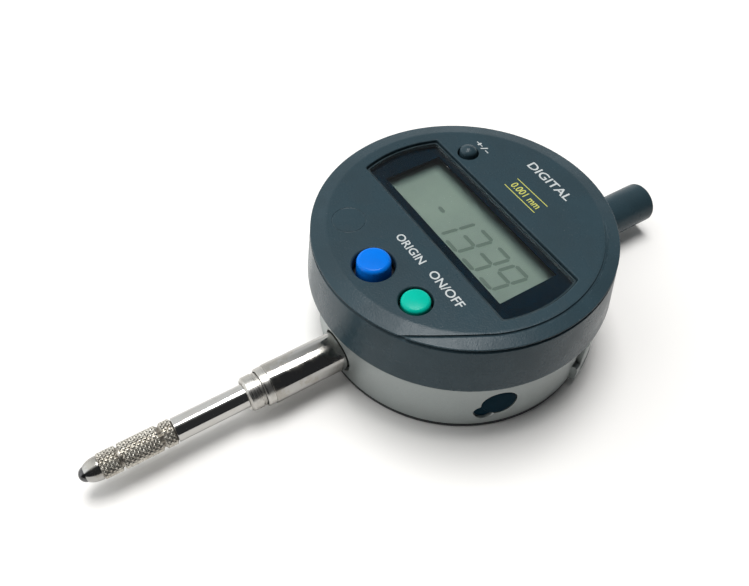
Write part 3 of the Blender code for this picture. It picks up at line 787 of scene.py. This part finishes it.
def styling_line():
    """A groove that comes in over the rim and then follows the band round the right side."""
    radius = 0.3
    lift = -0.08
    rim_end = Vector((15.7, -24.5))
    bend = Vector((20.3, -18.2))
    arc_start = -24.0
    arc_end = 62.0
    bend_steps, arc_steps, fade_steps = 12, 72, 13
    join = Vector(polar(LINE_RADIUS, arc_start))
    past_the_rim = 1.4
    flat = [rim_end + (rim_end - bend).normalized() * past_the_rim]
    for k in range(bend_steps + 1):
        t = k / bend_steps
        flat.append(rim_end * (1 - t) ** 2 + bend * 2 * t * (1 - t) + join * t ** 2)
    for k in range(1, arc_steps + 1):
        flat.append(Vector(polar(LINE_RADIUS, arc_start + (arc_end - arc_start) * k / arc_steps)))
    path = []
    for i, point in enumerate(flat):
        fade = max(0.0, (i - (len(flat) - 1 - fade_steps)) / fade_steps)
        path.append((point.x, point.y, cover_height(point.length) + lift + 0.4 * fade))
    return swept("styling_line", path, radius)


def window_outline(inset):
    """Long straight sides, and ends that are arcs about the case's middle."""
    corner, steps = 0.5, 24
    radius = WINDOW_ARC - inset
    start = asin((LENS_LOW.y - WINDOW_GAP + inset) / radius)
    end = asin((LENS_HIGH.y + WINDOW_GAP - inset) / radius)
    corners = []
    for side in (1, -1):
        for k in range(steps + 1):
            share = k / steps if side > 0 else 1 - k / steps
            angle = start + (end - start) * share
            fillet = corner if k in (0, steps) else 0.0
            corners.append((side * radius * cos(angle), radius * sin(angle), fillet))
    return rounded(corners, closed=True)


def window_layers(name, layers, closed=False):
    """A solid, or a closed ring, with the window's outline, from (inset, height) layers."""
    rings = [[(x, y, height) for x, y in window_outline(inset)] for inset, height in layers]
    return skin_over(name, rings, closed)


def front_cover():
    bottom = COVER_LOW.z
    inner = SKIRT_RADIUS - COVER_WALL
    roof = FACE - COVER_WALL
    rim = FACE - RIM_DROP
    corners = [
        (0.0, FACE, 0.0),
        (BAND_RADIUS - 1.6, FACE, 0.0),
        (BAND_RADIUS, FACE, 3.0),
        (RIM_RADIUS, rim, 0.15),
        (RIM_RADIUS + 0.02, rim - 0.22, 0.06),
        (RIM_RADIUS - 0.45, rim - 0.4, 0.06),
        (RIM_RADIUS - 0.45, rim - 0.72, 0.06),
        (RIM_RADIUS + 0.08, rim - 0.95, 0.15),
        (SKIRT_RADIUS, bottom + 0.6, 0.0),
        (SKIRT_RADIUS, bottom, 0.4),
        (inner, bottom, 0.2),
        (RIM_RADIUS - COVER_WALL, roof, 1.0),
        (0.0, roof, 0.0),
    ]
    cover = turned("front_cover_shell", corners, ROUND)
    edge = 0.22
    layers = [(-edge - 0.2, FACE + 1.0)]
    for turn in (15, 35, 55, 75, 90):
        layers.append((-edge + edge * sin(radians(turn)), FACE - edge + edge * cos(radians(turn))))
    layers.append((0.0, roof - 2.0))
    carve(cover, window_layers("window_tool", layers))
    for name, well in WELLS.items():
        x, y, _, _ = button_place(name)
        lip_radius = WELL_LIPS[name]
        tool = [(0.0, FACE + 1.0, 0.0), (well + lip_radius + 0.3, FACE + 1.0, 0.0)]
        for turn in (12, 30, 50, 70, 90):
            across = well + lip_radius * (1 - sin(radians(turn)))
            tool.append((across, FACE - lip_radius + lip_radius * cos(radians(turn)), 0.0))
        tool += [(well, roof - 2.0, 0.0), (0.0, roof - 2.0, 0.0)]
        carve(cover, moved(turned("well_tool", tool, 96), x, y))
    carve(cover, styling_line())
    x, y, radius = BLANK_KEY
    tool_radius = 0.13
    rings = []
    for turn in around(96):
        away = Vector((cos(turn), sin(turn), 0.0))
        centre = Vector((x, y, FACE + 0.05)) + away * radius
        rings.append([centre + (away * cos(a) + Vector((0, 0, sin(a)))) * tool_radius for a in around(8)])
    carve(cover, skin_over("blank_key_tool", rings, closed=True))
    even(cover)
    fitted(cover, SLATE, "case", "slate_plastic", "front_cover")


def display_window():
    """The clear window, and the smoky rim round it that is chamfered on its outer side."""
    low, high = LENS_LOW.z, LENS_HIGH.z
    edge = 0.45
    lens = smooth(window_layers("display_lens", [(edge, low), (edge, high - 0.02)]))
    fitted(lens, LENS, "case", "clear_window", "display_window")
    layers = [(edge + 0.06, low), (0.08, low), (0.08, high - 0.16), (0.26, high), (edge + 0.06, high)]
    rim = even(window_layers("display_window_rim", layers, closed=True), 20.0)
    fitted(rim, LENS_RIM, "case", "clear_window")


def display_mask():
    low, high = MASK_LOW.z, MASK_HIGH.z
    mask = window_layers("window_mask_print", [(0.1, low), (0.1, high)])
    start, end = MASK_OPENING
    opening = block("mask_tool", (*start, low - 1.0), (*end, high + 1.0), 0.0)
    fitted(smooth(carve(mask, opening)), MASK, "case", "black_plastic", "display_mask")


def flat_shapes(name, outlines, low, high):
    """Thin flat shapes, each from its own outline of (x, y) points."""
    bm = bmesh.new()
    for outline in outlines:
        bottom = [bm.verts.new(Vector((x, y, low)) * MM) for x, y in outline]
        face = bm.faces.new(bottom)
        grown = bmesh.ops.extrude_face_region(bm, geom=[face])["geom"]
        top = [v for v in grown if isinstance(v, bmesh.types.BMVert)]
        bmesh.ops.translate(bm, verts=top, vec=Vector((0.0, 0.0, high - low)) * MM)
    bmesh.ops.recalc_face_normals(bm, faces=bm.faces)
    return placed_mesh(name, bm)


# The display's figures
DIGIT_RIGHT = (-0.9, 4.5, 9.85, 15.2)
DIGIT_WIDTH = 3.7
DIGIT_HEIGHT = 7.4
DIGIT_BASE = -3.5
DIGIT_LEAN = tan(radians(10.0))
STROKE = 0.74
MINUS = ((-8.7, 0.45), (-6.5, 0.45))
SHADOW_SHIFT = (0.28, -0.2)  # the figures' shadow on the reflector behind them
BARS = {
    "top": ((0, 1), (1, 1)),
    "upper_right": ((1, 1), (1, 0.5)),
    "lower_right": ((1, 0.5), (1, 0)),
    "bottom": ((0, 0), (1, 0)),
    "lower_left": ((0, 0.5), (0, 0)),
    "upper_left": ((0, 1), (0, 0.5)),
    "middle": ((0, 0.5), (1, 0.5)),
}
FIGURES = {
    "1": ("upper_right", "lower_right"),
    "3": ("top", "upper_right", "middle", "lower_right", "bottom"),
    "9": ("top", "upper_right", "upper_left", "middle", "lower_right", "bottom"),
}


def bar_outline(start, end):
    """A display bar between two corners of its figure, with pointed ends."""
    along = (end - start).normalized()
    across = Vector((-along.y, along.x)) * STROKE / 2
    tip = 0.1
    near = start + along * tip
    far = end - along * tip
    shoulder = along * STROKE / 2
    return [
        near, near + shoulder - across, far - shoulder - across,
        far, far - shoulder + across, near + shoulder + across,
    ]


def figure_bars(shift):
    """Outlines of every lit bar, and of the minus sign."""
    outlines = []
    for figure, right in zip("1339", DIGIT_RIGHT):
        origin = Vector((right - DIGIT_WIDTH - DIGIT_HEIGHT * DIGIT_LEAN, DIGIT_BASE))
        for bar in FIGURES[figure]:
            ends = []
            for u, v in BARS[bar]:
                ends.append(Vector((u * DIGIT_WIDTH, v * DIGIT_HEIGHT)))
            outline = bar_outline(*ends)
            outlines.append([(origin.x + p.x + p.y * DIGIT_LEAN, origin.y + p.y) for p in outline])
    minus = bar_outline(*[Vector(end) for end in MINUS])
    outlines.append([(p.x, p.y) for p in minus])
    return [[(x + shift[0], y + shift[1]) for x, y in outline] for outline in outlines]


def point_marks():
    """The faint decimal points that stay just visible when they are off."""
    outlines = []
    for right in DIGIT_RIGHT:
        x = right - DIGIT_HEIGHT * DIGIT_LEAN + 0.45
        outlines.append([(x, -3.8), (x + 0.5, -3.8), (x + 0.35, -4.2), (x - 0.1, -4.2)])
    return outlines


def lcd():
    high = LCD_HIGH - Vector((0.0, 0.0, LCD_DROP))
    panel = block("lcd_module", LCD_LOW, high, 0.12)
    fitted(panel, LCD, "case", "lcd", "lcd_panel")
    top = high.z
    ink = 0.02
    for name, shapes, skin, low, up in (
        ("lcd_segment_shadows", figure_bars(SHADOW_SHIFT), SEGMENT_SHADOW, -ink, ink),
        ("lcd_point_marks", point_marks(), SEGMENT_SHADOW, -ink, ink),
        ("lcd_segments", figure_bars((0.0, 0.0)), SEGMENT, ink, 3 * ink),
    ):
        fitted(flat_shapes(name, shapes, top + low, top + up), skin, "case", "lcd")


def button(name, skin, slot, body, narrowing, crown, fillet):
    """A round key: a slightly tapered head with a soft edge, on a flange under the cover."""
    x, y, low, top = button_place(name)
    flange = span(name)[1].x - x
    flange_top = low + 0.7
    radius = BUTTON_RADII[name]
    corners = [(0.0, top, 0.0)]
    for k in range(1, 5):
        share = k / 5
        corners.append(((radius - narrowing) * share, top - crown * share ** 2, 0.0))
    corners += [
        (radius - narrowing, top - crown, fillet),
        (radius, flange_top + 0.6, 0.0),
        (radius, flange_top + 0.02, 0.1),
        (0.0, flange_top + 0.02, 0.0),
    ]
    key = moved(turned(name + "_key", corners, 96, steps=8), x, y)
    fitted(key, skin, body, slot, name)
    below = flange_top - 0.4
    foot = [(0.0, flange_top, 0.0), (flange, flange_top, 0.1), (flange, below, 0.1),
            (1.0, below, 0.1), (1.0, low, 0.05), (0.0, low, 0.0)]
    foot = moved(turned(name + "_flange", foot, 96), x, y)
    fitted(foot, BLACK, body, "black_plastic", name)


def buttons():
    button("origin_button", BLUE, "blue_plastic", "origin_key", narrowing=0.2, crown=0.18, fillet=0.75)
    button("power_button", GREEN, "green_plastic", "power_key", narrowing=0.1, crown=0.25, fillet=0.7)
    button("sign_button", SLATE, "slate_plastic", "sign_key", narrowing=0.05, crown=0.75, fillet=0.8)


def lettering(name, words, skin, low, high):
    """Printed words that fill the space between two corners of the face."""
    curve = bpy.data.curves.new(name + "_type", "FONT")
    curve.body = words
    curve.offset = 0.012
    curve.extrude = 0.01
    curve.resolution_u = 6
    source = placed(name + "_type", curve)
    mesh = finished_mesh(source)
    bpy.data.objects.remove(source, do_unlink=True)
    points = np.array([v.co for v in mesh.vertices])
    least = points.min(0)
    size = points.max(0) - least
    ink = 0.02
    for vertex in mesh.vertices:
        x = low[0] + (vertex.co.x - least[0]) / size[0] * (high[0] - low[0])
        y = low[1] + (vertex.co.y - least[1]) / size[1] * (high[1] - low[1])
        z = FACE - ink / 2 + (vertex.co.z - least[2]) / size[2] * ink * 1.5
        vertex.co = Vector((x, y, z)) * MM
    fitted(placed(name, mesh), skin, "case", "slate_plastic")


def printing():
    lettering("origin_print", "ORIGIN", WHITE_INK, (-3.4, -13.3), (4.7, -11.6))
    lettering("power_print", "ON/OFF", WHITE_INK, (7.2, -13.2), (16.4, -11.4))
    lettering("sign_print", "+/-", WHITE_INK, (-17.3, 15.1), (-13.2, 16.4))
    lettering("name_print", "DIGITAL", WHITE_INK, (-6.2, 19.9), (5.8, 21.9))
    lettering("resolution_print", "0.001 mm", YELLOW_INK, (-3.4, 13.5), (4.5, 15.2))
    left, right, half = -4.1, 5.1, 0.09
    lines = []
    for y in (12.75, 15.95):
        lines.append([(left, y - half), (right, y - half), (right, y + half), (left, y + half)])
    rules = flat_shapes("resolution_rules", lines, FACE - 0.01, FACE + 0.02)
    fitted(rules, YELLOW_INK, "case", "slate_plastic")


# Case

def sector(inner, outer, start, end, ease):
    """A stretch of a ring between two angles. Its ends lean in by ease degrees at the outer side."""
    steps = 24
    outline = []
    for k in range(steps + 1):
        outline.append(polar(outer, start + ease + (end - start - 2 * ease) * k / steps))
    for k in range(steps + 1):
        outline.append(polar(inner, end - (end - start) * k / steps))
    return outline


def bulge(start, top):
    """The thicker stretch of the case round the battery."""
    layers = []
    low = CASE_LOW.z + 0.1
    for inset, height in ((0.6, low), (0.0, low + 0.5), (0.0, top - 0.5), (0.15, top - 0.15), (0.5, top)):
        outline = sector(BULGE_INNER, BULGE_RADIUS - inset, start, BULGE_END, 1.2)
        layers.append([(x, y, height) for x, y in outline])
    return skin_over("bulge_tool", layers)


def middle_case():
    low, top = CASE_LOW.z - 0.24, CASE_HIGH.z + 0.1
    inner = CASE_RADIUS - 2.0
    ring = [
        (CASE_RADIUS, top, 0.25), (CASE_RADIUS, low, 0.3), (inner, low, 0.0), (inner, top, 0.0)
    ]
    case = turned("middle_case_ring", ring, ROUND, closed=True)
    for start, height in BULGE_STEPS:
        carve(case, bulge(start, height), "UNION")
    for name, radius, back, front in (
        ("stem_hole_tool", STEM_RADIUS + 0.12, -24.0, -32.0),
        ("stem_seat_tool", STEM_RADIUS + 0.5, -27.3, -32.0),
        ("cap_hole_tool", CAP_HOLE_RADIUS, 32.0, 24.0),
    ):
        carve(case, along_stem(cylinder(name, radius, back, front, 96)))
    port = cylinder("port_tool", PORT_RADIUS + 0.14, 3.0, -4.0, 64)
    carve(case, wrapped(port, PORT_ANGLE, PORT_HEIGHT, CASE_RADIUS))
    scoop = turned("scoop_tool", [(0.0, 1.0, 0.0), (2.2, 1.0, 0.0), (2.2, -0.02, 0.0),
                                  (2.05, -0.2, 0.0), (2.0, -3.2, 0.0), (0.0, -3.2, 0.0)], 48)
    carve(case, wrapped(scoop, PORT_ANGLE - TONGUE_TURN, PORT_HEIGHT - TONGUE_DROP, CASE_RADIUS))
    opening = block("door_tool", *DOOR_OPENING, 0.6, 3)
    carve(case, swung(opening, BATTERY_ANGLE))
    even(case)
    fitted(case, SILVER, "case", "silver_case", "middle_case")


def data_port_cover():
    """A rubber bung whose face follows the case, with a tongue to lift it by."""
    face = [(0.0, 0.0, 0.0), (2.4, 0.0, 0.0), (PORT_RADIUS, 0.0, 0.35),
            (PORT_RADIUS, -1.8, 0.0), (0.0, -1.8, 0.0)]
    bung = turned("port_bung", face, 64)
    tongue = turned("port_tongue_tool", [(0.0, -0.5, 0.0), (1.95, -0.5, 0.2), (1.95, -1.4, 0.0),
                                         (0.0, -1.4, 0.0)], 48)
    carve(bung, moved(tongue, -TONGUE_ACROSS, -TONGUE_DROP), "UNION")
    wrapped(bung, PORT_ANGLE, PORT_HEIGHT, CASE_RADIUS)
    plug = block("port_plug_tool", *PLUG_BLOCK, 0.2)
    carve(bung, swung(plug, PORT_ANGLE), "UNION")
    even(bung)
    fitted(bung, NAVY, "port_plug", "black_plastic", "data_port_cover")


def battery_dark_strip():
    """The black strip that fills the gap between the battery bulge and the front cover."""
    middle = (BULGE_TOP + COVER_LOW.z) / 2
    half = (COVER_LOW.z - BULGE_TOP) / 2 + 0.04
    strip = block("battery_dark_strip", (-2.2, -half, -1.0), (4.6, half, -0.25), 0.15)
    wrapped(finer(strip, 3), BATTERY_ANGLE, middle, DOOR_RADIUS)
    fitted(even(strip), BLACK, "case", "black_plastic")


def battery_cover():
    """The curved door with its finger ridges, and the tray behind it."""
    door = block("battery_door", *DOOR_BLOCK, 0.35, 3)
    pitch, half = 0.9, 2.4
    for i in range(3):
        ridge = block("ridge_tool", (3.2 + i * pitch, -half, -0.45), (3.6 + i * pitch, half, 0.4), 0.1, 1)
        carve(door, ridge)
    wrapped(finer(door, 2), BATTERY_ANGLE, (DOOR_LOW.z + DOOR_HIGH.z) / 2, DOOR_RADIUS)
    tray = block("tray_tool", *TRAY_BLOCK, 0.15)
    carve(door, swung(tray, BATTERY_ANGLE), "UNION")
    even(door)
    fitted(door, SILVER, "battery_drawer", "silver_case", "battery_cover")


def back_cover():
    radius = BACK_HIGH.x
    top = BACK_HIGH.z
    corners = [(0.0, top, 0.0), (radius - 0.1, top, 0.1), (radius - 0.1, 0.0, 0.45), (0.0, 0.0, 0.0)]
    plate = turned("back_cover_plate", corners, ROUND)
    hole, head = 0.95, 2.2
    for angle in SCREW_ANGLES:
        x, y = polar(SCREW_CIRCLE, angle)
        seat = [(0.0, top + 0.5, 0.0), (hole, top + 0.5, 0.0), (hole, 0.95, 0.0),
                (head, -0.1, 0.0), (head, -0.6, 0.0), (0.0, -0.6, 0.0)]
        carve(plate, moved(turned("seat_tool", seat, 48), x, y))
    outer, inner, depth = 26.0, 25.6, 0.16
    ring = [(outer, depth, 0.0), (outer, -0.5, 0.0), (inner, -0.5, 0.0), (inner, depth, 0.0)]
    carve(plate, turned("ring_tool", ring, 192, closed=True))
    even(plate)
    fitted(plate, BLACK, "case", "black_plastic", "back_cover")


def back_screws():
    end, shank = 19.4, 0.85
    for i, angle in enumerate(SCREW_ANGLES):
        x, y = polar(SCREW_CIRCLE, angle)
        corners = [(0.0, end, 0.0), (0.7, end, 0.0), (shank, 19.0, 0.0), (shank, 1.1, 0.0),
                   (1.85, 0.2, 0.08), (1.7, 0.12, 0.0), (0.0, 0.1, 0.0)]
        screw = turned(f"back_screw_head_{i + 1}", corners, 64)
        carve(screw, block("slot_tool", (-3.0, -0.24, -0.5), (3.0, 0.24, 0.55), 0.0))
        moved(screw, x, y)
        fitted(even(screw), PLATED, "case", "machined_steel", f"back_screw_{i + 1}")


# Stem, spindle and point

def stem():
    back = STEM_HIGH.y
    front = STEM_LOW.y
    step = -43.4
    bore = STEM_RADIUS - 0.5
    corners = [
        (STEM_RADIUS, back, 0.1), (STEM_RADIUS, step, 0.12), (bore, step, 0.0), (bore, back, 0.0)
    ]
    fitted_shaft("stem_barrel", corners, POLISHED, "case", "polished_steel", "stem", closed=True)
    band = STEM_RADIUS - 0.15
    corners = [
        (band, step - 0.02, 0.0), (band, front, 0.15), (bore, front, 0.0), (bore, step - 0.02, 0.0)
    ]
    fitted_shaft("stem_band", corners, MACHINED, "case", "machined_steel", "stem", closed=True)


def stem_nose():
    """The nut at the stem's end: a collar, a thin lock ring and the neck between them."""
    front = NOSE_LOW.y
    collar_back = front + 2.4
    neck_back = NOSE_HIGH.y
    radius = NOSE_HIGH.x
    bore = SPINDLE_RADIUS + 0.25
    neck = 3.2
    corners = [
        (neck, neck_back, 0.0),
        (neck, collar_back, 0.0),
        (radius, collar_back, 0.1),
        (radius, front + 0.4, 0.15),
        (radius - 0.42, front, 0.08),
        (bore + 0.35, front, 0.05),
        (bore, front + 0.6, 0.0),
        (bore, neck_back, 0.0),
    ]
    fitted_shaft("nose_collar", corners, MACHINED, "case", "polished_steel", "stem_nose", closed=True)
    low = collar_back + 0.28
    high = low + 0.24
    outer, inner = 3.42, 3.22
    corners = [(outer, high, 0.06), (outer, low, 0.06), (inner, low, 0.0), (inner, high, 0.0)]
    fitted_shaft("lock_ring", corners, PLATED, "case", "polished_steel", "stem_nose", closed=True)


def spindle():
    top = SPINDLE_HIGH.y
    front = SPINDLE_LOW.y
    bore, bore_end = 0.9, top - 3.2
    corners = [
        (0.0, bore_end, 0.0), (bore, bore_end, 0.0), (bore, top, 0.0),
        (SPINDLE_RADIUS, top, 0.2), (SPINDLE_RADIUS, front, 0.15), (0.0, front, 0.0),
    ]
    fitted_shaft("spindle_rod", corners, SPINDLE_STEEL, "plunger", "polished_steel", "spindle")


def knurled(name, outline, zones):
    """A turned piece whose zones, given as (front, back), are cut with crossed grooves."""
    count = KNURLS_ROUND * 16
    turn = np.arange(count) * 2 * pi / count
    heights = []
    for (_, start), (_, end) in zip(outline, outline[1:]):
        mid = (start + end) / 2
        cut = any(front < mid < back for front, back in zones)
        steps = max(1, round(abs(end - start) / (KNURL_PITCH / 14))) if cut else 1
        heights += [(start + (end - start) * k / steps) for k in range(steps)]
    heights.append(outline[-1][1])
    rings = []
    position = np.array([h for _, h in outline])
    radii = np.array([r for r, _ in outline])
    for h in heights:
        # the outline runs from the back end to the front end, so its heights fall
        limit = float(np.interp(-h, -position, radii))
        if any(front <= h <= back for front, back in zones):
            u = KNURLS_ROUND * turn / (2 * pi)
            v = h / KNURL_PITCH
            one = 1 - np.abs(2 * ((u + v) % 1.0) - 1)
            other = 1 - np.abs(2 * ((u - v) % 1.0) - 1)
            crown = np.clip(np.minimum(one, other) * 1.55, 0.0, 1.0)
            radius = limit + KNURL_STAND - KNURL_DEPTH * (1 - crown)
        else:
            radius = np.full(count, limit)
        rings.append([(r * cos(a), r * sin(a), h) for r, a in zip(radius, turn)])
    return along_stem(smooth(skin_over(name, rings), 50.0))


def knurled_sleeve():
    back, front = SLEEVE_HIGH.y, SLEEVE_LOW.y
    radius = SLEEVE_RADIUS
    neck = SPINDLE_RADIUS - 0.45
    reach = 0.27
    groove = 0.5
    plain = groove - 0.05
    outline = [
        (neck, back + reach),
        (neck, back),
        (radius - 0.1, back),
        (radius, back - 0.1),
        (radius, SLEEVE_GROOVE + groove),
        (radius - groove, SLEEVE_GROOVE),
        (radius, SLEEVE_GROOVE - groove),
        (radius, front + 0.19),
        (radius, front + 0.17),
        (radius, front + 0.06),
        (radius - 0.2, front),
        (neck, front),
        (neck, front - reach),
    ]
    zones = ((SLEEVE_GROOVE + plain, back - 0.05), (front + 0.18, SLEEVE_GROOVE - plain))
    grip = knurled("knurled_grip", outline, zones)
    fitted(grip, KNURLED, "plunger", "machined_steel", "knurled_sleeve")


def contact_point():
    """The screwed-in point: a knurled shank, then a smooth nose down to the carbide."""
    back, front = POINT_HIGH.y, POINT_LOW.y
    knurl_front = -76.35
    radius = POINT_HIGH.x
    outline = [
        (radius - 0.3, back),
        (radius - 0.3, back - 0.06),
        (radius, back - 0.12),
        (radius, knurl_front + 0.1),
        (radius - 0.12, knurl_front),
    ]
    shank = knurled("contact_point_shank", outline, ((knurl_front + 0.05, back - 0.13),))
    fitted(shank, KNURLED, "plunger", "machined_steel", "contact_point")
    end = 1.52
    start = knurl_front - 0.02
    corners = [(0.0, start, 0.0), (radius - 0.14, start, 0.0)]
    for k in range(1, 25):
        share = k / 24
        swell = 1 - share ** 2.5
        corners.append((end + (radius - 0.1 - end) * swell, start + (front - start) * share, 0.0))
    corners.append((0.0, front, 0.0))
    fitted_shaft("contact_point_nose", corners, POLISHED, "plunger", "machined_steel", "contact_point")


def contact_ball():
    tip = BALL_LOW.y
    base = POINT_LOW.y - 0.02
    foot = 1.47
    reach = base - tip
    radius = (foot ** 2 + reach ** 2) / (2 * reach)
    centre = tip + radius
    shank, back = 0.7, BALL_HIGH.y
    corners = [(0.0, back, 0.0), (shank, back, 0.0), (shank, base, 0.0), (foot, base, 0.0)]
    start = asin((base - centre) / radius)
    for k in range(1, 16):
        a = start + (-pi / 2 - start) * k / 16
        corners.append((radius * cos(a), centre + radius * sin(a), 0.0))
    corners.append((0.0, tip, 0.0))
    fitted_shaft("carbide_ball", corners, CARBIDE, "plunger", "carbide", "contact_ball", facets=64)


def spindle_cap():
    back, end = CAP_LOW.y, CAP_HIGH.y
    radius = CAP_HIGH.x
    inside = radius - 0.7
    roof = end - 1.4
    corners = [
        (0.0, end, 0.0),
        (2.6, end, 0.0),
        (radius - 0.06, end, 0.35),
        (radius, back, 0.2),
        (inside, back, 0.15),
        (inside, roof, 0.3),
        (0.0, roof, 0.0),
    ]
    cap = along_stem(turned("end_cap_shell", corners))
    fitted(even(cap), SLATE, "end_cap", "slate_plastic", "spindle_cap")


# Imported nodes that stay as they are, inside the case, by their finish
INNER_FINISHES = (
    (BRASS, ("lower_bush", "upper_bush", "battery_terminal_plus", "battery_terminal_minus")),
    (PLATED, ("cap_sleeve", "spring_post", "return_spring", "board_screw_1", "board_screw_2")),
    (PLATED, ("scale_carriage", "carriage_screw", "spindle_end_screw", "spring_hook_post", "battery")),
    (RUBBER, ("buffer_washer", "connector_strip_front", "connector_strip_rear")),
    (POLISHED, ("guide_rail",)),
    (BLACK, ("lcd_holder", "processor", "encoder_chip", "data_connector")),
    (BLACK, ("origin_switch", "power_switch", "sign_switch")),
    (BOARD, ("main_board", "encoder_board")),
    (LCD, ("main_scale",)),
    (MACHINED, ("stop_ring",)),
)


def inner_nodes():
    for skin, names in INNER_FINISHES:
        for name in names:
            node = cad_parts[name]
            node.data.materials.clear()
            node.data.materials.append(skin)


# Studio
WALL_TINT = (1.0, 1.02, 1.02)
DARK_ROOM = (0.04, 0.042, 0.045)


def floor():
    half = 2000.0
    sheet = block("studio_floor", (-half, -half, -2.0), (half, half, -0.02), 0.0)
    made, _, _ = finish_named("floor_paper", (0.93, 0.91, 0.885), 0.7)
    sheet.data.materials.append(made)


def sky():
    """White walls on the left, dimmer towards the back, and a dark room on the right."""
    world = bpy.data.worlds.new("studio")
    bpy.context.scene.world = world
    world.use_nodes = True
    tree = world.node_tree
    way = add(tree, "SeparateXYZ")
    tree.links.new(add(tree, "TexCoord").outputs["Generated"], way.inputs[0])
    turn = calc(tree, "ARCTAN2", way.outputs["Z"], way.outputs["X"])
    left = ramp(tree, turn, radians(70.0), radians(100.0))
    back = ramp(tree, way.outputs["Y"], 0.0, 0.45)
    high = ramp(tree, way.outputs["Z"], 0.2, 0.6)
    dimmed = times(tree, times(tree, back, high), 0.92)
    front = times(tree, way.outputs["Y"], -1.0)
    front = ramp(tree, front, 0.05, 0.5, 0.0, 0.6)
    level = calc(tree, "ADD", calc(tree, "SUBTRACT", 1.0, dimmed), front)
    light = times(tree, left, level)
    shade = add(tree, "VectorMath", {"Scale": light}, operation="SCALE")
    shade.inputs[0].default_value = WALL_TINT
    room = add(tree, "VectorMath", operation="ADD")
    tree.links.new(shade.outputs[0], room.inputs[0])
    room.inputs[1].default_value = DARK_ROOM
    tree.links.new(room.outputs[0], tree.nodes["Background"].inputs["Color"])
    tree.nodes["Background"].inputs["Strength"].default_value = 1.0


def softbox(name, towards, distance, width, length, radiance):
    """A square lamp that looks at the object from a direction."""
    data = bpy.data.lights.new(name, "AREA")
    data.shape = "RECTANGLE"
    data.size = width
    data.size_y = length
    data.energy = radiance * pi * width * length
    lamp = placed(name, data)
    way = Vector(towards).normalized()
    lamp.location = way * distance
    lamp.rotation_mode = "QUATERNION"
    lamp.rotation_quaternion = way.to_track_quat("Z", "Y")


def camera():
    azimuth, elevation, roll = radians(57.97), radians(51.13), radians(0.678)
    distance = 147.14
    target = Vector((-2.902, -17.901, 14.505)) * MM
    back = Vector((
        sin(azimuth) * cos(elevation), -cos(azimuth) * cos(elevation), sin(elevation)
    ))
    level = Vector((cos(azimuth), sin(azimuth), 0.0))
    up = level.cross(-back)
    right = level * cos(roll) + up * sin(roll)
    up = up * cos(roll) - level * sin(roll)
    data = bpy.data.cameras.new("camera")
    data.sensor_width = 36.0
    data.lens = 36.106
    data.clip_start = 0.005
    made = placed("camera", data)
    turn = Matrix((right, up, back)).transposed().to_4x4()
    made.matrix_world = Matrix.Translation(target + back * distance * MM) @ turn
    bpy.context.scene.camera = made


def build():
    camera()
    floor()
    sky()
    overhead = (-0.165, 0.09, 0.98)
    softbox("overhead_softbox", overhead, distance=1.0, width=0.42, length=0.48, radiance=12.5)
    bpy.context.scene.view_settings.view_transform = "Standard"
    for piece in (
        front_cover, display_window, display_mask, lcd, buttons, printing,
        middle_case, data_port_cover, battery_dark_strip, battery_cover, back_cover, back_screws,
        stem, stem_nose, spindle, knurled_sleeve, contact_point, contact_ball, spindle_cap,
        inner_nodes,
    ):
        piece()


build()
